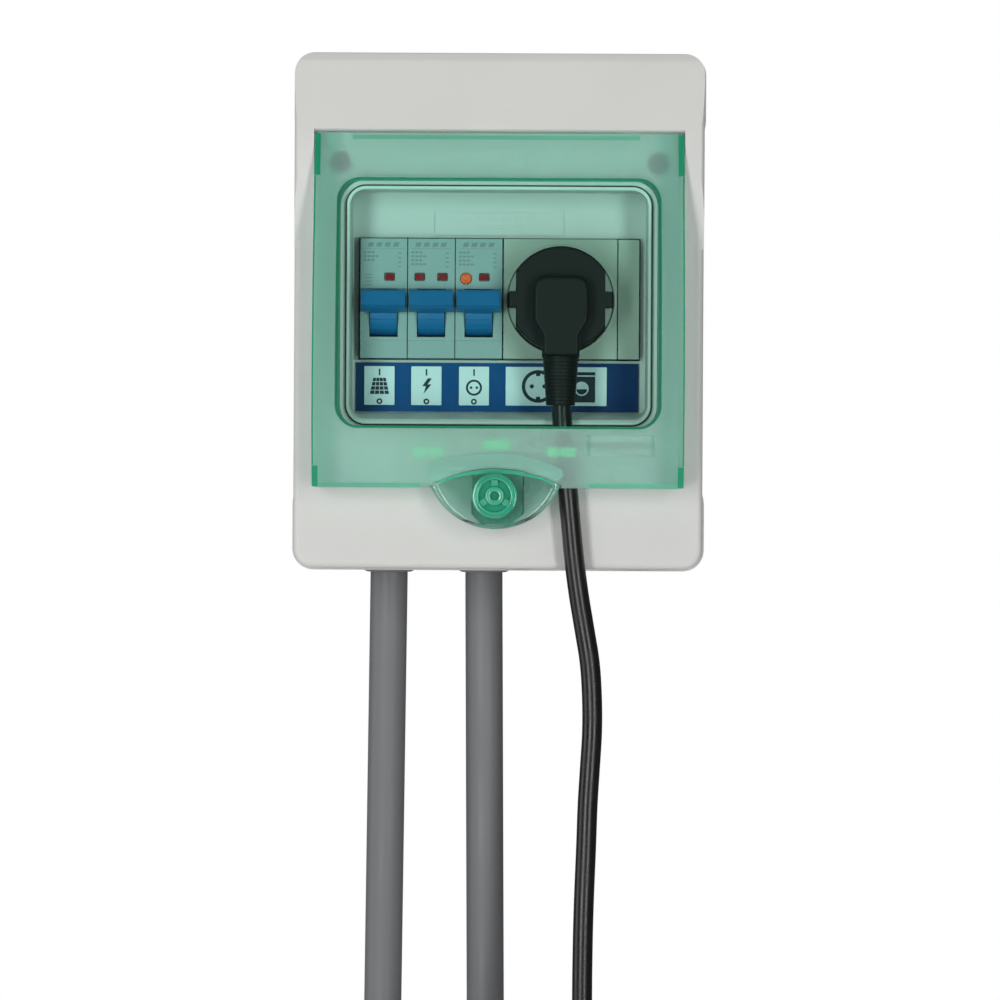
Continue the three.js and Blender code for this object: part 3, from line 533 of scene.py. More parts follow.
def curve_through(points, steps):
    """Points along a smooth curve through the given points (Catmull-Rom)."""
    p = [Vector(q) for q in points]
    p = [2 * p[0] - p[1], *p, 2 * p[-1] - p[-2]]
    out = []
    for i in range(1, len(p) - 2):
        for j in range(steps):
            t = j / steps
            out.append(0.5 * (2 * p[i] + (p[i + 1] - p[i - 1]) * t
                              + (2 * p[i - 1] - 5 * p[i] + 4 * p[i + 1] - p[i + 2]) * t * t
                              + (3 * p[i] - p[i - 1] - 3 * p[i + 1] + p[i + 2]) * t ** 3))
    return [*out, p[-2]]


def cable_curve(name, points, radius, material):
    data = bpy.data.curves.new(name, "CURVE")
    data.dimensions = "3D"
    spline = data.splines.new("POLY")
    route = curve_through(points, 4)
    spline.points.add(len(route) - 1)
    for place, q in zip(spline.points, route):
        place.co = (*point(*q), 1)
    data.bevel_depth, data.bevel_resolution = radius * MM, 6
    data.use_fill_caps = True
    data.materials.append(material)
    obj = bpy.data.objects.new(name, data)
    bpy.context.scene.collection.objects.link(obj)
    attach(obj, "housing")
    return obj


def make_black_cord(look):
    x = COIL_CENTRE[0] + COIL_RADIUS + SIDE
    depth = COIL_CENTRE[1] - LAYER
    tail = [(x, depth, z) for z in (-322, -337, TAIL_END)]
    cord = cable_curve("black_cord", CORD_ROUTE + coil_points() + tail, CORD_RADIUS, look["cord"])
    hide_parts("cord", "cord_coil")
    cores = make_cores("cord_cores", (x, depth, TAIL_END), 1.3, 1.7, 22, look)
    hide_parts("cord_end")
    return cord, [make_relief(look), make_tie(look), *cores]


def make_cores(name, top, radius, spread, length, look):
    """Three insulated cores that leave a sheath, each with a stripped copper end."""
    x, depth, z = top
    made = []
    for i, colour in enumerate(("brown", "blue", "earth")):
        a = math.radians(90 + 120 * i)
        place = (x + spread * math.cos(a), depth + spread * math.sin(a), 0)
        core = rod("z", radius, z - length + 6, z + 1, place, 20)
        made.append(piece(core, f"{name}_{colour}", "housing", look[f"wire_{colour}"], bevel=0.15))
        tip = rod("z", radius * 0.72, z - length, z - length + 7, place, 16)
        made.append(piece(tip, f"{name}_{colour}_tip", "housing", look["copper"], bevel=0.2))
    return made


def make_relief(look):
    """The plug's strain relief: a tapered sleeve with grooves round it."""
    top, bottom = -18.6, -37.0
    top_depth, bottom_depth = 94.2, 97.0
    rings, slope = 14, (bottom_depth - top_depth) / (top - bottom)
    length = math.hypot(top - bottom, bottom_depth - top_depth)
    profile = []
    for i in range(91):
        t = i / 90
        radius = 5.4 + (6.8 - 5.4) * t
        groove = 0.5 - 0.5 * math.cos(2 * math.pi * rings * t)
        profile.append((radius - (0.16 * groove ** 4 if 0.04 < t < 0.96 else 0), t * length))
    loops = []
    for r, t in profile:
        z = bottom + t * (top - bottom) / length
        depth = bottom_depth - slope * (z - bottom)
        loops.append([(23.3 + r * math.cos(a), depth + r * math.sin(a), z)
                      for a in [2 * math.pi * k / 40 for k in range(40)]])
    sleeve = loft(loops)
    return piece(sleeve, "plug_sleeve", "housing", look["plug"], ["plug_relief"], 0.3)


def make_tie(look):
    """A strap round the turns of the coil, drawn tight round the five that are there."""
    angle = math.radians(-75)
    hull = [(-SIDE, LAYER), (SIDE, LAYER), (SIDE, 0), (-SIDE, -LAYER)]
    loops = []
    for across in (-2.5, 2.5):
        for grow in (CORD_RADIUS + 0.15, CORD_RADIUS + 1.25):
            section = []
            for i, (out, forward) in enumerate(hull):
                before = hull[i - 1]
                after = hull[(i + 1) % len(hull)]
                start = math.degrees(math.atan2(forward - before[1], out - before[0])) + 90
                end = math.degrees(math.atan2(after[1] - forward, after[0] - out)) + 90
                if end > start:
                    end -= 360
                section += arc(out, forward, grow, start, end, 6)
            loops.append([(out, forward, across) for out, forward in section])
    order = [loops[0], loops[1], loops[3], loops[2]]
    x, depth, z = COIL_CENTRE
    placed = []
    for loop in order:
        placed.append([(x + (COIL_RADIUS + out) * math.cos(angle) - across * math.sin(angle), depth + forward,
                        z + (COIL_RADIUS + out) * math.sin(angle) + across * math.cos(angle))
                       for out, forward, across in loop])
    strap = loft(placed, closed=True)
    return piece(strap, "coil_strap", "housing", look["dark"], ["coil_tie"], 0.2)


def make_grey_cable(side, look):
    (x0, x1), _, _ = span(f"cable_{side}_cores")
    end_x = (x0 + x1) / 2
    (x0, x1), _, _ = span(f"grommet_{side}")
    top_x = (x0 + x1) / 2
    slope = (end_x - top_x) / (CABLE_HEIGHTS[-1] - BOX_FOOT)
    route = [(top_x + slope * min(0, z - BOX_FOOT), CABLE_DEPTH, z) for z in CABLE_HEIGHTS]
    cable = cable_curve(f"grey_cable_{side}", route, CABLE_RADIUS, look["cable"])
    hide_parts(f"cable_{side}")
    cores = make_cores(f"cable_{side}_core", (end_x, CABLE_DEPTH, CABLE_HEIGHTS[-1]), 1.9, 3, 27,
                       look)
    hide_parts(f"cable_{side}_cores")
    profile = [(7.55, -0.6), (8.5, -0.6), (9.6, -0.1), (9.6, 3.1), (11.6, 3.1), (11.6, 4.8), (7.55, 4.8)]
    seal = turned(profile, "z", (top_x, CABLE_DEPTH, BOX_FOOT))
    piece(seal, f"cable_seal_{side}", "housing", look["grommet"], [f"grommet_{side}"], 0.25)


# ---- Back box, cover and screws ----


def base_outline(inset):
    """A rounded rectangle a little wider at its four corners than at its waist."""
    wide, waist, height, corner = 79.4 - inset, 78.0 - inset, 99.7 - inset, 8.2 - inset
    quarter = [(waist, 60.0)]
    quarter += [(waist + (wide - waist) * smooth_step(t / 6), 66 + 8 * t / 6) for t in range(7)]
    quarter += arc(wide - corner, height - corner, corner, 0, 90, 12)
    right = [(x, -z) for x, z in reversed(quarter)] + quarter
    left = [(-x, z) for x, z in reversed(quarter)] + [(-x, -z) for x, z in quarter]
    return right + left


def make_back_box(look):
    depth, wall, plate = 48, 2.8, 3
    shell = loft([at_depth(base_outline(1.2), 0), at_depth(base_outline(0.35), 0.35),
                  at_depth(base_outline(0), 1.2), at_depth(base_outline(0), depth - 0.4),
                  at_depth(base_outline(0.4), depth)])
    inner = ring(78.0 - wall, -99.7 + wall, 99.7 - wall, 8.2 - wall)
    shell = cut(shell, prism(inner, plate, depth + 1))
    for z in (-80, 80):
        for x in (-55, 55):
            shell = cut(shell, rod("depth", 2.6, -1, plate + 1, (x, 0, z), 32))
            shell = cut(shell, rod("depth", 5, 2.2, plate + 1, (x, 0, z), 32))
    for x in (-42.4, -5.5):
        shell = cut(shell, rod("z", 9.9, -101, -96, (x, CABLE_DEPTH, 0)))
    # Shallow panels between the ribs of the back, and round knock-outs in the walls.
    for x in (-36, 0, 36):
        for z in (-40, 0, 40):
            shell = cut(shell, prism(ring(15.5, z - 17.5, z + 17.5, 3, x, 4), -1, 0.8))
    for x in (-45, 0, 45):
        shell = cut(shell, turned([(9, 0), (10, 0), (10, 2), (9, 2)], "z", (x, 26, 99.5)))
    for z in (-30, 30):
        for side in (-1, 1):
            rim = [(9, 0), (10, 0), (10, 2), (9, 2)]
            start = 77.7 if side > 0 else -79.7
            shell = cut(shell, turned(rim, "x", (start, 26, z)))
    for x, z in SCREWS:
        shell = join(shell, rod("depth", 5, plate - 1, depth - 1, (x, 0, z), 32))
    piece(shell, "back_box", "housing", look["housing"], ["base_shell"], 0.25, 2)


def make_gasket(look):
    outer, inner = ring(77.2, -97.6, 97.6, 7.2), ring(75.4, -95.8, 95.8, 5.4)
    seal = hoop(outer, inner, 48.3, 49.7)
    piece(seal, "cover_seal", "housing", look["rubber"], ["cover_gasket"], 0.2, 2)


SCREWS = [(-59.7, 53.7), (59.7, 53.7), (-59.7, -59.9), (59.7, -59.9)]
COVER = {"half": 76.9, "height": 98.3, "corner": 7.4, "back": 50, "face": 91, "brow": 95, "lean": 3.3}
BED_HALF, BED_TOP = 69.5, 65.4
COLLAR_FACE, MASK_FACE = 94, 75
RECESS = {"half": 57.1, "top": 45.0, "bottom": -44.2, "corner": 7.2}


def cover_form(grow, back, front, edge):
    """The cover's form up to a front depth: its top side leans in, and its front edge is rounded."""
    c = COVER
    loops = []
    for i in range(-1, 9):
        a = math.pi / 2 * max(0, i) / 8
        inset = edge * (1 - math.cos(a)) - grow
        depth = back if i < 0 else front - edge + edge * math.sin(a)
        lean = c["lean"] * (depth - c["back"]) / (c["brow"] - c["back"])
        loops.append(at_depth(ring(c["half"] - inset, -c["height"] + inset, c["height"] - lean - inset,
                                   c["corner"] - inset, steps=16), depth))
    return loft(loops)


def recess_cutter():
    """The window's hollow: rounded at its mouth, and drawn in and squarer at the mask."""
    loops = []
    for t in (-0.15, 0.0, 0.06, 0.18, 0.4, 0.7, 1.0):
        s = max(0.0, t)
        depth = COLLAR_FACE + (MASK_FACE - COLLAR_FACE) * t
        half = 55.9 - 0.3 * min(1, 10 * s) - 0.1 * s
        top = 43.7 - 0.2 * min(1, 10 * s) + 0.4 * s
        bottom = -42.4 + 0.5 * min(1, 10 * s) + 2.6 * s
        loops.append(at_depth(ring(half, bottom, top, 6.0 - 4.2 * s), depth))
    return loft(loops)


def lock_pocket():
    half, top, bottom, chamfer = 9.7, -59.9, -81.7, 4
    outline = [(-half, top), (-half, bottom + chamfer), (-half + chamfer, bottom),
               (half - chamfer, bottom), (half, bottom + chamfer), (half, top)]
    return prism(outline, 77, 92)


def make_cover(look):
    c = COVER
    level = cover_form(0, c["back"], c["face"], 2.4)
    raised = cover_form(0, c["back"], c["brow"], 2.8)
    brow = [(60, 100), (86, 100), (90.3, 95), (91.5, 92), (95, BED_TOP), (95, 54), (94.4, 46), (92.8, 34),
            (91.3, 26), (90.5, 22), (60, 22)]
    raised = common(raised, side_prism(brow, -90, 90))
    body = join(level, raised)
    body = cut(body, prism(ring(BED_HALF, -130, BED_TOP, 0.4, steps=4), c["face"], c["brow"] + 1))
    body = cut(body, cover_form(-2.5, c["back"] - 1, 72, 1), prism(ring(71, -92, 90, 6), 60, 84))
    body = cut(body, lock_pocket())
    collar = prism(ring(RECESS["half"], RECESS["bottom"], RECESS["top"], RECESS["corner"]), 73, COLLAR_FACE)
    body = join(body, collar)
    body = cut(body, recess_cutter())
    opening = ((-52.9, 53.3, 70), (-52.9, 53.3, 72.6), (-55.4, 53.6, 75.2))
    body = cut(body, loft([at_depth(box_outline(x0, x1, -19.6, 26.8), depth) for x0, x1, depth in opening]))
    body = join(body, prism(ring(24.4, 27.8, 36.4, 0.6, 0, 4), 74.5, 75.7))
    for x, z in SCREWS:
        body = cut(body, rod("depth", 4.2, 82, 93, (x, 0, z)))
    body = cut(body, rod("x", 3.7, -BED_HALF, BED_HALF, HINGE))
    body = cut(body, rod("x", 1.4, -72.6, 72.6, HINGE, 24))
    # The top edge of the door's bed is relieved, so that the door clears it when it opens.
    body = cut(body, side_prism([(92.6, 65.1), (95.6, 66.65), (95.6, 65.1)], -BED_HALF, BED_HALF))
    piece(body, "cover", "housing", look["housing"], ["cover_shell"], 0.35)
    seal = ((0.06, 91.1), (0.06, 93.7), (0.5, 93.7), (0.5, 91.1))
    # The step and lip rings are painted light: the glowing step lights the stripe beside the collar, in the
    # rib's shadow, and the lip is a painted highlight on the collar's front edge.
    step = ((0.6, 91.02), (0.6, 92.4), (2.4, 92.4), (2.4, 91.02))
    lip = ((-1.0, 94.02), (-0.9, 94.3), (-0.2, 94.3), (-0.1, 94.02))
    make_collar_ring("collar_seal", seal, look["rubber"], 0.1)
    make_collar_ring("collar_step_painted_light", step, look["painted_light_edge"], 0.2)
    make_collar_ring("collar_lip_painted_highlight", lip, look["painted_light_edge"], 0.06)
    marks = [box_outline(x - 1.5, x + 1.5, z, z + 1.1) for x, z in
             [(-12 + 4.8 * i, 33.6) for i in range(6)] + [(-8 + 4 * i, 30.4) for i in range(5)]]
    piece(together(*ink(marks, 75.7, 0.25)), "badge_marks", "housing", look["housing"],
          bevel=0.08, segments=2)


def make_collar_ring(name, section, material, bevel):
    """A ring round the window's collar. Its section is (distance outside the collar, depth)."""
    r = RECESS
    loops = [at_depth(ring(r["half"] + out, r["bottom"] - out, r["top"] + out, r["corner"] + out), depth)
             for out, depth in section]
    piece(loft(loops, closed=True), name, "housing", material, bevel=bevel, segments=2)


def screw(place, node, name, head, back, front, material):
    """The head of a cross-slot screw."""
    x, z = place
    profile = [(0.01, 0), (head * 0.6, 0), (head, (front - back) * 0.55), (head, (front - back) * 0.8),
               (head * 0.9, front - back), (0.01, front - back)]
    body = turned(profile, "depth", (x, back, z), 32)
    for long_x, long_z in ((0.62, 0.13), (0.13, 0.62)):
        body = cut(body, block((x - head * long_x, x + head * long_x), (front - 1.1, front + 1),
                               (z - head * long_z, z + head * long_z)))
    piece(body, name, "housing", material, [node], 0.12, 2)


def make_cover_screws(look):
    for name in ("top_left", "top_right", "bottom_left", "bottom_right"):
        (x0, x1), (_, front), (z0, z1) = span(f"cover_screw_{name}")
        place = ((x0 + x1) / 2, (z0 + z1) / 2)
        upper = name.startswith("top")
        # The top heads are near-black plastic: painted shade of their deep seats. The bottom heads are steel.
        screw(place, f"cover_screw_{name}", f"screw_{name}", 3.9 if upper else 3.5, front - 2.5, front,
              look["screw" if upper else "steel"])


# ---- Breakers, socket and labels ----

RAIL_Z = 3.6
NOSE = (RAIL_Z - 22.6, RAIL_Z + 22.6)
FLAGS = [[2.2], [-4.4, 4.2], [2.0]]
TOGGLE_PIVOT = (74, -2.2)


def device_outline():
    z0, z1 = RAIL_Z - 42, RAIL_Z + 42
    return [(27.3, z0), (71, z0), (71, NOSE[0]), (80, NOSE[0]), (80, NOSE[1]), (71, NOSE[1]), (71, z1),
            (27.3, z1)]


def make_breaker(number, centre, flags, look):
    half = 8.85
    body = side_prism(device_outline(), centre - half, centre + half)
    cheek_foot, slot_half = -12.3, 5.35
    body = cut(body, block((centre - slot_half, centre + slot_half), (65, 81), (-11.0, 7.2)))
    body = cut(body, block((centre - half - 1, centre + half + 1), (79.55, 81), (-30, cheek_foot)))
    body = cut(body, block((centre - half - 1, centre + half + 1), (79.3, 81), (-1.3, 7.2)))
    for x in flags:
        body = cut(body, prism(ring(1.85, 10.3, 13.1, 0.5, centre + x, 3), 78.9, 81))
    for z in (NOSE[0] - 9.5, NOSE[1] + 9.5):
        body = cut(body, rod("depth", 2.8, 62, 72, (centre, 0, z), 24))
    if number == 3:
        body = cut(body, rod("depth", 2.2, 74, 81, (centre - 4.9, 0, 11.1), 32))
    piece(body, f"breaker_{number}_case", "housing", look["device"],
          [f"breaker_{number}_body"], 0.35)
    for i, x in enumerate(flags):
        cx = centre + x
        flag = prism(ring(1.6, 10.55, 12.85, 0.4, cx, 3), 79.0, 79.85)
        piece(flag, f"breaker_{number}_window_{i + 1}", "housing", look["red"],
              [f"breaker_{number}_flag_{i + 1}"], 0.12, 2)
    make_breaker_print(number, centre, flags, look)
    make_toggle(number, centre, look)


def make_breaker_print(number, centre, flags, look):
    """Plain bars where a breaker has its printed lines. They spell nothing."""
    left = centre - 7.6
    shapes = [box_outline(left, centre + 7.6, 22.35, 22.5)]
    for i in range(4):
        x = left + 1.4 + 3.2 * i
        shapes.append([(x, 23.1), (x + 2.0, 23.1), (x + 2.5, 24.7), (x + 0.5, 24.7)])
    rows = [(20.6, 5.2), (19.1, 6.4), (17.6, 4.6), (16.1, 7.0)]
    for z, length in rows[: 4 if number > 1 else 3]:
        shapes += [box_outline(left + t, min(left + t + 1.1, left + length), z, z + 0.75)
                   for t in [1.5 * k for k in range(int(length / 1.5))]]
    for k in range(4):
        shapes.append(box_outline(centre + 5.4, centre + 6.6, 20.4 - 1.7 * k, 20.9 - 1.7 * k))
    if number == 1:
        shapes += [box_outline(left + 0.4, left + 3.2, 12.4 - 1.3 * k, 12.75 - 1.3 * k) for k in range(4)]
    if number == 3:
        shapes = [s for s in shapes if not (s[0][0] < centre - 2.2 and 7 < s[0][1] < 14.2)]
    piece(together(*ink(shapes, 80)), f"breaker_{number}_print", "housing", look["print"])
    frames = []
    for x in flags:
        outer, inner = ring(2.05, 10.1, 13.3, 0.6, centre + x, 3), ring(1.85, 10.3, 13.1, 0.5, centre + x, 3)
        frames.append(hoop(outer, inner, 79.98, 80.06))
    piece(together(*frames), f"breaker_{number}_frames", "housing", look["frame_ink"])


def make_toggle(number, centre, look):
    """A wide grip on a narrow stem, turned up to on, with a drum behind."""
    pivot_d, pivot_z = TOGGLE_PIVOT
    tilt = math.radians(23)

    def tipped(outline):
        return [(pivot_d + d * math.cos(tilt) - z * math.sin(tilt),
                 pivot_z + d * math.sin(tilt) + z * math.cos(tilt))
                for d, z in outline]

    grip = [(8.9, -3.3), (12.6, -3.5), (14.4, -2.9), (14.6, 0), (14.6, 2.6), (13.9, 3.7), (8.9, 3.7)]
    lever = side_prism(tipped(grip), centre - 8.3, centre + 8.3)
    stem = side_prism(tipped([(0, -3.2), (10, -3.2), (10, 3.2), (0, 3.2)]), centre - 5.05, centre + 5.05)
    drum = rod("x", 8.2, centre - 5.05, centre + 5.05, (0, pivot_d, pivot_z), 72)
    lever = join(lever, stem, drum)
    for angle in (-16, -42):
        a = math.radians(angle)
        place = (0, pivot_d + 8.2 * math.cos(a), pivot_z + 8.2 * math.sin(a))
        lever = cut(lever, rod("x", 0.22, centre - 6, centre + 6, place, 12))
    piece(lever, f"breaker_{number}_lever", f"toggle_{number}", look["toggle"],
          [f"breaker_{number}_toggle"], 0.35)


def make_test_button(look):
    (x0, x1), _, (z0, z1) = span("test_button")
    x, z = (x0 + x1) / 2, (z0 + z1) / 2
    profile = [(0.01, 0), (2.1, 0), (2.1, 3.7), (1.9, 4.1), (1.5, 4.2), (1.1, 3.95), (0.01, 3.85)]
    button = turned(profile, "depth", (x, 77, z), 40)
    button = cut(button, rod("depth", 0.45, 80.5, 82, (x, 0, z - 1.75), 16))
    piece(button, "test_push", "button", look["orange"], ["test_button"], 0.08, 2)


def make_socket(look):
    x, half = 23.2, 21.45
    well_x, well_z, well = 23.3, RAIL_Z - 0.5, 20.2
    body = side_prism(device_outline(), x - half, x + half)
    body = cut(body, rod("depth", well, 62.5, 81, (well_x, 0, well_z), 96))
    rim = [(well, 0), (well + 1.2, 0), (well + 1.0, 0.35), (well + 0.25, 0.4)]
    body = join(body, turned(rim, "depth", (well_x, 79.9, well_z), 96))
    for side in (-1, 1):
        body = cut(body, rod("depth", 2.8, 42, 63, (well_x + side * 9.5, 0, well_z), 28))
        for up in (-1, 1):
            lug = common(rod("depth", well + 0.05, 62, 79.2, (well_x, 0, well_z), 96),
                         block(sorted((well_x + side * 16.9, well_x + side * 21)), (61, 80),
                               sorted((well_z + up * 2.9, well_z + up * 22))))
            body = join(body, lug)
    piece(body, "socket_front", "housing", look["socket"], ["socket_module"], 0.7, 4)
    for name, side in (("bottom", -1), ("top", 1)):
        z = sorted((well_z + side * (well - 0.45), well_z + side * (well - 0.05)))
        leaf = block((well_x - 2, well_x + 2), (64, 79.2), z)
        piece(leaf, f"earth_leaf_{name}", "housing", look["steel"],
              [f"socket_earth_clip_{name}"], 0.12, 2)
    filler = join(prism(ring(3.95, *NOSE, 0.4, 49.05, 3), 77, 79),
                  block((45.1, 53), (68, 77.5), (NOSE[1] - 1.4, NOSE[1])),
                  block((45.1, 53), (68, 77.5), (NOSE[0], NOSE[0] + 1.4)))
    piece(filler, "blank_cover", "housing", look["socket"], ["blank_filler"], 0.3)


def letterless_icons():
    """The cards' signs, as (x, z) outlines and rings: a panel, a flash, sockets and a washing machine."""
    shapes, rings = [], []

    def trapezoid(cx, u0, u1, v0, v1):
        def at(u, v):
            return (cx + (u - 0.5) * (7.6 - 2.8 * v), -32.7 + 6.4 * v)
        return [at(u0, v0), at(u1, v0), at(u1, v1), at(u0, v1)]

    panel_x = -45.1
    for i in range(4):
        for j in range(4):
            across, up = (i / 4 + 0.016, (i + 1) / 4 - 0.016), (j / 4 + 0.022, (j + 1) / 4 - 0.022)
            shapes.append(trapezoid(panel_x, *across, *up))
    flash_x = -27.3
    flash = [(0.6, 3.6), (-1.9, 0.1), (-0.3, 0.1), (-1.3, -3.4), (2.2, 0.9), (0.5, 0.9), (2.4, 3.6)]
    shapes.append([(flash_x + 0.85 * a, -29.6 + 0.85 * b) for a, b in flash])
    for card_x in (panel_x, flash_x, -9.3):
        shapes.append(box_outline(card_x - 0.3, card_x + 0.3, -25.5, -23.0))
        rings.append((card_x, -35.3, 0.5, 1.12))
    rings.append((-9.3, -30.0, 2.25, 3.05))
    shapes += [circle(-9.3 + s, -30.0, 0.5, 16) for s in (-1.1, 1.1)]
    rings.append((15.0, -29.4, 4.9, 6.2))
    shapes += [circle(15.0 + s, -29.4, 0.8, 20) for s in (-2.4, 2.4)]
    shapes += [box_outline(14.2, 15.8, z, z + 1.1) for z in (-34.4, -25.5)]
    shapes += [box_outline(27.0, 36.6, -25.1, -23.9), box_outline(27.0, 36.6, -35.4, -25.6)]
    return shapes, rings


def make_labels(look):
    x, d, z = span("label_strip")
    piece(block(x, d, z), "blue_strip", "housing", look["strip"], ["label_strip"], 0.12, 2)
    for i in range(1, 5):
        x, d, z = span(f"label_card_{i}")
        card = prism(ring((x[1] - x[0]) / 2, *z, 0.3, (x[0] + x[1]) / 2, 3), d[0] - 0.28, d[1])
        piece(card, f"card_{i}", "housing", look["card"], [f"label_card_{i}"], 0.08, 2)
    shapes, rings = letterless_icons()
    solids = ink(shapes, 76.7) + [washer(a, b, r0, r1, 76.68, 76.75) for a, b, r0, r1 in rings]
    piece(together(*solids), "card_signs", "housing", look["navy"])
    piece(together(*ink([circle(31.5, -30.2, 2.7, 32)], 76.76)), "card_drum", "housing", look["card"])
    bowl = [(31.5 + a, -30.4 + b) for a, b in arc(0, 0, 2.0, 180, 360, 20)]
    piece(together(*ink([bowl], 76.82)), "card_drum_bowl", "housing", look["navy"])


# ---- Plug ----


def make_plug(look):
    x, z = 23.3, 3.1
    radius, flat, tab = 19.6, 16.6, 2.6
    disc = pillow(lambda inset: circle(x, z, radius - inset, 96), 63, 96, 1.0)
    for side in (-1, 1):
        edge = sorted((x + side * flat, x + side * 22))
        disc = cut(disc, block(edge, (72, 98), (z + tab, z + 22)), block(edge, (72, 98), (z - 22, z - tab)))
    body_half, neck_half = 10.4, 7.0

    def handle(inset):
        b, n = body_half - inset, neck_half - inset
        half = [(n, -18.8 + inset), (n, -11.5), (n + (b - n) * 0.2, -9.6), (n + (b - n) * 0.8, -6.4), (b, -4.6),
                (b, 6.5 - inset), (b - 0.9, 9.6 - inset), (b - 3.0, 11.3 - inset)]
        return [(x + u, v) for u, v in half] + [(x - u, v) for u, v in reversed(half)]

    grip = pillow(handle, 88, 103, 1.6)
    body = join(disc, grip)
    piece(body, "plug_moulding", "housing", look["plug"], ["plug_body"], 0.4, 3, 28)


# ---- Door, latch plate and lock ----

HINGE = (0, 92.9, 62)
LOCK = (-1.1, 0, -71)
DOOR = {"half": 69.2, "top": 64.8, "bottom": -68.0, "wall": 2.4, "skirt": 2.2, "back": 91.3}
RIB = {"half": 61.3, "top": 48.7, "bottom": -46.8, "corner": 9.5, "thick": 1.7, "back": 92}
LATCH = {"x": -0.9, "z": -67.1, "half": 24.3, "rise": 6.1, "drop": 16.3}


def bezier(p0, p1, p2, p3, steps):
    out = []
    for i in range(1, steps + 1):
        t = i / steps
        s = 1 - t
        out.append(tuple(s ** 3 * a + 3 * s * s * t * b + 3 * s * t * t * c + t ** 3 * d
                         for a, b, c, d in zip(p0, p1, p2, p3)))
    return out


def door_side(back, top, bottom, inset):
    """The door's side profile in (depth, z): flat at the back, bowed out low down at the front."""
    foot = (106.5 - inset, bottom)
    bow = (112 - inset, -32)
    lower = bezier(foot, (109.6 - inset, bottom + 10), (112 - inset, -44), bow, 14)
    upper = bezier(bow, (112 - inset, 2), (101 - inset, top - 26), (94.5 - inset, top), 28)
    return [(back, top), (back, bottom), foot, *lower, *upper]


def eye(grow=0.0, steps=28):
    """The latch plate's outline: two arcs that meet in a tip on each side."""
    half = LATCH["half"] + grow
    points = []
    for height, sign in ((LATCH["rise"] + grow, 1), (LATCH["drop"] + grow, -1)):
        radius = (half * half + height * height) / (2 * height)
        reach = math.degrees(math.asin(half / radius))
        cz = LATCH["z"] + sign * (height - radius)
        points += arc(LATCH["x"], cz, radius, 90 * sign - reach, 90 * sign + reach, steps)[:-1]
    return points


def door_solid(inset, skirt, back, outline):
    """The door's outer or inner form, inside a front outline."""
    side = door_side(back, DOOR["top"] - skirt, DOOR["bottom"] + skirt, inset)
    solid = side_prism(side, -DOOR["half"] + skirt, DOOR["half"] - skirt)
    return common(solid, prism(outline, 80, 125)) if outline else solid


def cord_notch():
    return block((25.4 - 5.9, 25.4 + 5.9), (88, 103.2), (-70, -43.8))


def make_door(look):
    d = DOOR
    corner = ring(d["half"], d["bottom"], d["top"], 1.6, steps=6)
    seam = ring(RIB["half"] - 0.75, RIB["bottom"] + 0.75, RIB["top"] - 0.75, RIB["corner"] - 0.75)
    frame_body = door_solid(0, 0, d["back"], corner)
    frame_body = cut(frame_body, door_solid(d["wall"], d["skirt"], d["back"] - 2, None))
    pane = common(duplicate(frame_body), prism(seam, 80, 125))
    hole = prism(ring(RIB["half"] - 0.75 + EPS, RIB["bottom"] + 0.75 - EPS, RIB["top"] - 0.75 + EPS,
                      RIB["corner"] - 0.75), 80, 125)
    frame_body = cut(frame_body, hole, prism(eye(0.3), 80, 125), cord_notch())
    for side in (-1, 1):
        ends = sorted((side * 65.5, side * (d["half"] - 0.05)))
        frame_body = join(frame_body, rod("x", 2, *ends, HINGE, 32))
        frame_body = cut(frame_body, rod("x", 1.4, *sorted((side * 66.9, side * 80)), HINGE, 24))
    piece(frame_body, "door_frame", "door", look["frosted"], ["door_shell"], 0.5, 3)
    piece(pane, "door_pane", "door", look["pane"], ["door_shell"], 0.2, 2)
    outer = ring(RIB["half"], RIB["bottom"], RIB["top"], RIB["corner"])
    inner = ring(RIB["half"] - RIB["thick"], RIB["bottom"] + RIB["thick"], RIB["top"] - RIB["thick"],
                 RIB["corner"] - RIB["thick"])
    rib = common(hoop(outer, inner, RIB["back"], 125), door_solid(d["wall"] + EPS, d["skirt"] + EPS, 85, None))
    rib = cut(rib, cord_notch())
    piece(rib, "door_rib", "door", look["rib"], ["door_shell"], 0.25, 2)
    # The hooks are in glowing glass: painted light.
    hooks = [((-31.3, -27.2), 97, -56.2), ((-25.3, -20.8), 97, -56.2), ((-5.4, 4.3), 99, -53.6),
             ((18.5, 22.6), 104, -56.2), ((23.4, 29.0), 104, -56.2)]
    solids = [common(block(x, (back, 120), (z, z + 3.3)), door_solid(d["wall"] + EPS, d["skirt"], 85, None))
              for x, back, z in hooks]
    piece(together(*solids), "door_hooks", "door", look["painted_glow"], ["door_shell"], 0.2, 2)


def door_skin(outline, thick):
    """A low raised area of the door's front, inside an outline."""
    skin = door_solid(-thick, 0, DOOR["back"] + 1, outline)
    return cut(skin, door_solid(0, 0, DOOR["back"], None))


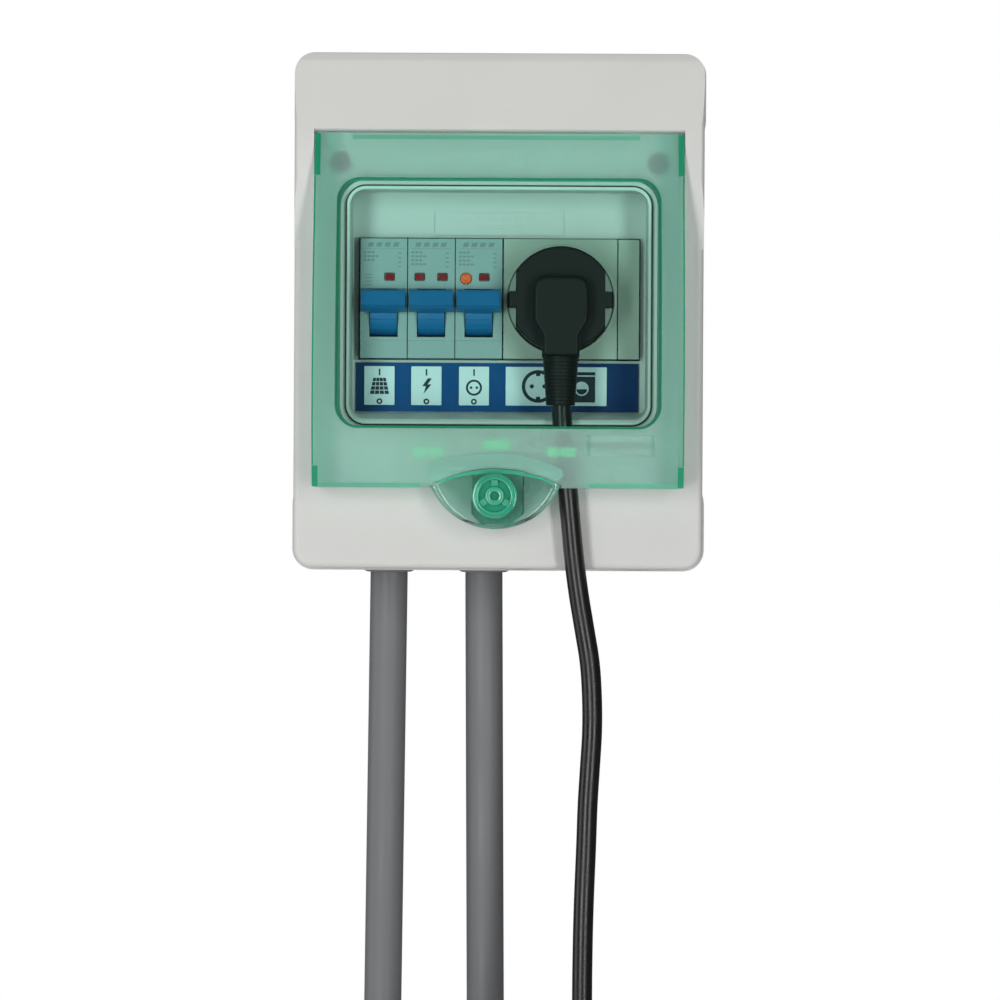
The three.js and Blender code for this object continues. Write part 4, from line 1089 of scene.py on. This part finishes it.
def make_door_areas(look):
    """The arched pad over the lock, a plain plate beside it, and the door's edges in brighter glass that glows:
    painted light along its sides, top and bottom.
    """
    top = DOOR["top"] - DOOR["skirt"]
    pad = [(-26.0, -63.4), (-25.0, -58.4), (-17, -56.6), (-8, -55.5), (0, -55.2), (8, -55.7), (16, -57.6),
           (24.0, -60.8), (24.4, -63.8)]
    eye_top = sorted((x, z + 0.9) for x, z in eye() if z > LATCH["z"] + 0.5 and -26 < x < 24)
    piece(door_skin(eye_top + list(reversed(pad)), 0.3), "door_pad", "door", look["pad"],
          bevel=0.12, segments=2)
    piece(door_skin(ring(12.9, -56, -48.4, 0.5, 45.6, 3), 0.3), "door_plate", "door", look["frosted"],
          bevel=0.1, segments=2)
    edges = []
    # The ears are deep green plastic seen edge-on, in glass that also glows: painted edge glow.
    for side in (-1, 1):
        edges += [(side * 67.0, side * 69.1, 48.7, 64.6), (side * 68.6, side * 69.1, -59.9, 48.5),
                  (side * 66.9, side * 69.1, -67.8, -60.1)]
    ears = [door_skin(box_outline(*sorted((x0, x1)), z0, z1), 0.2) for x0, x1, z0, z1 in edges]
    piece(together(*ears), "door_ears", "door", look["edge"])
    # The bands are glowing glass: painted light along the door's top and bottom edges.
    bands = [box_outline(-55, 52.6, top - 0.1, top + 1.3), box_outline(-66.6, -29, -67.8, -66.4),
             box_outline(34, 66.6, -67.8, -66.4)]
    piece(together(*[door_skin(painted_light_band, 0.2) for painted_light_band in bands]), "door_bands", "door", look["painted_light_band"])


def duplicate(obj):
    copy = obj.copy()
    copy.data = obj.data.copy()
    bpy.context.scene.collection.objects.link(copy)
    return copy


def make_latch(look):
    """The eye-shaped plate, bowed back at its tips, with a bore for the lock."""
    outline = eye(0.0)

    def bow(u):
        return 3.2 * (u / LATCH["half"]) ** 2

    loops = []
    for inset, depth in ((0, 104.2), (0, 105.4), (0.3, 106.0), (0.9, 106.7), (1.4, 107)):
        shrink_x = (LATCH["half"] - inset * 2.2) / LATCH["half"]
        shrink_z = (LATCH["drop"] - inset) / LATCH["drop"]
        loop = []
        for x, z in outline:
            u = (x - LATCH["x"]) * shrink_x
            loop.append((LATCH["x"] + u, depth - bow(u), LATCH["z"] + (z - LATCH["z"]) * shrink_z))
        loops.append(loop)
    crescent = [(x, z) for x, z in outline if z > LATCH["z"] + 0.4]
    low = [(LATCH["x"] + (x - LATCH["x"]) * 0.96, LATCH["z"] + (z - LATCH["z"]) * 0.72) for x, z in crescent]
    brow = [[(x, depth - bow(x - LATCH["x"]), z) for x, z in crescent + low[::-1]] for depth in (106.9, 107.3)]
    # The brow is in glowing glass: painted light.
    piece(loft(brow), "latch_brow", "door", look["knob_painted_glow"], bevel=0.1, segments=2)
    boss = prism([(-9.3, -60.4), (-9.3, -77.8), (-5.5, -81.4), (5.5, -81.4), (9.3, -77.8), (9.3, -60.4)],
                 99, 103.9)
    boss = cut(boss, rod("depth", 3.3, 98, 105, LOCK, 48))
    piece(boss, "lock_boss", "door", look["boss"], bevel=0.4)
    plate = loft(loops)
    plate = cut(plate, rod("depth", 3.2, 100, 110, LOCK, 48))
    piece(plate, "latch_eye", "door", look["clear"], ["latch_plate"], 0.15, 2)
    for place, side in (("left", -1), ("right", 1)):
        x, d, z = span(f"hinge_pin_{place}")
        pin = rod("x", 1.1, *x, HINGE, 24)
        piece(pin, f"pin_{place}", "door", look["steel"], [f"hinge_pin_{place}"], 0.2, 2)


def make_lock(look):
    x, _, z = LOCK
    rim = [(6.0, 107.3), (8.0, 107.3), (8.4, 107.8), (8.4, 110.6), (7.9, 111.3), (7.2, 111.4), (6.5, 111.0),
           (6.1, 110.2)]
    knob = turned(rim, "depth", LOCK, 72)
    floor = rod("depth", 6.4, 107.3, 108.9, LOCK)
    hub = [(1.6, 107.3), (3.6, 107.3), (3.6, 110.6), (3.2, 111.0), (2.2, 111.0), (1.6, 110.2)]
    shaft = turned([(0.01, 87.3), (2.8, 87.3), (2.8, 108), (0.01, 108)], "depth", LOCK, 40)
    knob = join(knob, floor, turned(hub, "depth", LOCK, 48), shaft)
    arms = []
    for k in range(3):
        arm = block((x - 1.2, x + 1.2), (109.0, 110.6), (z + 3.7, z + 5.9))
        turn_about(arm, (x, z), math.radians(120 * k))
        arms.append(arm)
    # The band is a painted highlight: the bright ring round the knob's face, in glowing glass.
    painted_light_band = turned([(6.15, 110.3), (6.8, 110.3), (6.8, 111.5), (6.45, 111.6), (6.15, 111.5)], "depth", LOCK, 72)
    piece(together(painted_light_band, *arms), "lock_spokes_and_painted_highlight", "lock", look["knob_painted_glow"],
          bevel=0.15, segments=2)
    core = [(1.7, 110.4), (3.4, 110.4), (3.4, 111.2), (3.0, 111.35), (2.0, 111.3), (1.7, 111.1)]
    piece(turned(core, "depth", LOCK, 48), "lock_hub", "lock", look["knob_painted_glow"],
          bevel=0.1, segments=2)
    piece(knob, "lock_handle", "lock", look["knob"], ["lock_knob"], 0.25, 3)
    (x0, x1), d, (z0, z1) = span("lock_cam")
    cam = join(block((x0, x1), d, (z - 2.6, z + 2.6)), rod("depth", 4, *d, LOCK, 40))
    piece(cam, "lock_tongue", "lock", look["housing"], ["lock_cam"], 0.4, 3)


def turn_about(obj, centre, angle):
    """Turns a solid about an axis that points out of the wall."""
    cx, cz = centre[0] * MM, centre[1] * MM
    c, s = math.cos(angle), math.sin(angle)
    for v in obj.data.vertices:
        u, w = v.co.x - cx, v.co.z - cz
        v.co.x, v.co.z = cx + c * u - s * w, cz + s * u + c * w


# ---- CAD nodes that keep their shape ----


def dress_hidden_nodes(look):
    """Parts inside the box keep their CAD shape and get a finished material."""
    looks = {"rail_screw_": "steel", "din_rail": "steel", "neutral_bar": "brass", "earth_bar": "brass",
             "wire_phase": "wire_brown", "wire_neutral": "wire_blue", "wire_earth": "wire_earth",
             "socket_clip": "dark", "socket_earth_clip": "steel", "plug_pin": "steel"}
    for name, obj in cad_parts.items():
        if obj.hide_render:
            continue
        wanted = [look[value] for key, value in looks.items() if name.startswith(key)]
        material = wanted[0] if wanted else look["dark"]
        for slot in obj.material_slots:
            slot.material = material


# ---- Room, light ----


def make_stage():
    """A round pale floor well below the box, and soft light from the front and both sides."""
    floor_z = cad_box[0].z / MM - 70
    disc = pillow(lambda inset: circle(0, 0, 1150 - inset, 128), -60, -50, 4)
    for v in disc.data.vertices:
        v.co = Vector((v.co.x, v.co.z, floor_z * MM - (v.co.y + 0.055) * 0.5))
    disc.name = "floor"
    n = Nodes("floor")
    shader = n.add("ShaderNodeBsdfPrincipled")
    shader.inputs["Base Color"].default_value = (0.86, 0.86, 0.86, 1)
    shader.inputs["Roughness"].default_value = 0.8
    n.join(n.bump(n.noise(40), 0.1, 0.2), shader.inputs["Normal"])
    n.join(shader.outputs["BSDF"], n.output.inputs["Surface"])
    disc.data.materials.append(n.material)
    world = bpy.data.worlds.new("world")
    bpy.context.scene.world = world
    world.use_nodes = True
    tree = world.node_tree
    tree.nodes.clear()
    output = tree.nodes.new("ShaderNodeOutputWorld")
    seen = tree.nodes.new("ShaderNodeBackground")
    seen.inputs["Color"].default_value, seen.inputs["Strength"].default_value = (1, 1, 1, 1), 1.0
    lit = tree.nodes.new("ShaderNodeBackground")
    lit.inputs["Color"].default_value, lit.inputs["Strength"].default_value = (1, 1, 1, 1), WORLD_LIGHT
    path = tree.nodes.new("ShaderNodeLightPath")
    mix = tree.nodes.new("ShaderNodeMixShader")
    tree.links.new(path.outputs["Is Camera Ray"], mix.inputs["Fac"])
    tree.links.new(lit.outputs["Background"], mix.inputs[1])
    tree.links.new(seen.outputs["Background"], mix.inputs[2])
    tree.links.new(mix.outputs["Shader"], output.inputs["Surface"])
    for name, place, size, power in SOFTBOXES:
        data = bpy.data.lights.new(name, "AREA")
        data.shape, data.size, data.size_y, data.energy = "RECTANGLE", *size, power
        light = bpy.data.objects.new(name, data)
        bpy.context.scene.collection.objects.link(light)
        light.location = point(*place)
        light.rotation_mode = "QUATERNION"
        light.rotation_quaternion = (point(*LIT_POINT) - light.location).to_track_quat("-Z", "Y")
    bpy.context.scene.view_settings.view_transform = "Standard"


WORLD_LIGHT = 0.1
LIT_POINT = (0, 60, -30)
# name, place, (width, height) in metres, watts
SOFTBOXES = [
    ("softbox_left", (-700, 1620, -150), (0.36, 1.5), 15.5),
    ("softbox_right", (750, 1560, -150), (0.28, 1.5), 12.5),
    ("softbox_top", (0, 1000, 1600), (1.4, 0.8), 1.8),
    ("softbox_low", (0, 1200, -1200), (1.4, 0.7), 8),
    ("softbox_side", (-1700, 250, 0), (0.8, 1.2), 6),
    ("softbox_back", (0, -900, 700), (1.6, 0.8), 8),
]


def make_looks():
    return {
        "housing": plastic("housing_plastic", (208, 208, 205), 0.5, 1400, 0.02, 0.015),
        "rubber": plastic("rubber", (48, 48, 47), 0.75, 600, 0.05),
        "steel": plastic("steel", (186, 189, 193), 0.3, 500, 0.02, 0.05, 1.0),
        "brass": plastic("brass", (196, 160, 84), 0.32, 500, 0.02, 0.06, 1.0),
        "copper": plastic("copper", (198, 122, 78), 0.35, 500, 0.02, 0.06, 1.0),
        "wire_brown": plastic("wire_brown", (92, 58, 36), 0.4),
        "wire_blue": plastic("wire_blue", (46, 100, 170), 0.4),
        "wire_earth": plastic("wire_earth", (120, 160, 46), 0.4),
        "device": plastic("breaker_plastic", (152, 172, 172), 0.45, 1200, 0.015, 0.02),
        "dark": plastic("dark_plastic", (44, 45, 46), 0.5),
        "toggle": plastic("toggle_plastic", (2, 104, 160), 0.4, 900, 0.015, 0.04),
        "red": plastic("window_red", (146, 26, 32), 0.25, 900, 0.01, 0.08),
        "orange": plastic("button_plastic", (250, 96, 20), 0.35),
        "socket": plastic("socket_plastic", (172, 178, 168), 0.4, 1200, 0.015, 0.02),
        "strip": strip_blue("strip_print", (6, 60, 100), (2, 76, 134), (2, 54, 104)),
        "card": plastic("card_print", (222, 234, 238), 0.45, 700, 0.015, 0.02),
        "navy": plastic("sign_ink", (4, 34, 56), 0.6),
        "print": plastic("grey_ink", (128, 142, 142), 0.55),
        "frame_ink": plastic("dark_ink", (60, 70, 72), 0.5),
        "plug": plastic("plug_rubber", (8, 11, 10), 0.5, 1600, 0.004, 0.08, shine=0.25),
        "cord": plastic("cord_sheath", (12, 12, 12), 0.32, 500, 0.02, 0.1),
        "cable": plastic("cable_sheath", (112, 114, 116), 0.5, 500, 0.05, 0.04, stretch=(1, 1, 0.2)),
        "grommet": plastic("grommet_rubber", (120, 123, 124), 0.7, 600, 0.03),
        "screw": plastic("screw_head_painted_shade", (18, 22, 22), 0.6, 500, 0.02, 0.05),
        # Painted glow on the door's glasses and on the housing edge below is painted light, standing in for
        # light passed through and along the plastic.
        "frosted": glass("door_frosted", 45, 0.48, 0.15, (218, 250, 242), 900, 0.03, painted_glow=0.03, rim=True),
        "rib": glass("door_rib", 80, 0.3, 0.5, (66, 186, 152)),
        "edge": glass("door_edge_painted_glow", 70, 0.3, 0.45, (30, 186, 138), painted_glow=0.02),
        "painted_glow": glass("door_hook_painted_glow", 60, 0.3, 0.4, (6, 218, 154), painted_glow=0.2),
        "painted_light_band": glass("door_band_painted_glow", 50, 0.4, 0.3, (140, 236, 206), painted_glow=0.02),
        "pad": glass("door_pad", 20, 0.5, 0.25, (196, 252, 238)),
        "pane": clear_pane("door_clear", 106, 1.4),
        "clear": glass("latch_clear", 55, 0.02, 0.03, (214, 252, 242), coat=1.0),
        "knob": glass("knob_glass", 60, 0.06, 0.4, (74, 218, 182), coat=0.8),
        "knob_painted_glow": glass("knob_spokes_painted_glow", 40, 0.1, 0.35, (110, 232, 196), coat=0.8, painted_glow=0.03),
        "painted_light_edge": plastic("housing_edge_painted_light", (206, 214, 208), 0.5, 1500, 0.01, painted_glow=0.16),
        "boss": plastic("lock_boss", (96, 166, 148), 0.5),
    }


make_camera()
look = make_looks()
cord, cord_pieces = make_black_cord(look)
for cable_side in ("left", "right"):
    make_grey_cable(cable_side, look)
make_back_box(look)
make_gasket(look)
make_cover(look)
make_cover_screws(look)
for index, flag_places in enumerate(FLAGS):
    make_breaker(index + 1, -52.6 + 18 * (index + 0.5), flag_places, look)
make_test_button(look)
make_socket(look)
make_labels(look)
make_plug(look)
make_door(look)
make_door_areas(look)
make_latch(look)
make_lock(look)
dress_hidden_nodes(look)
make_stage()
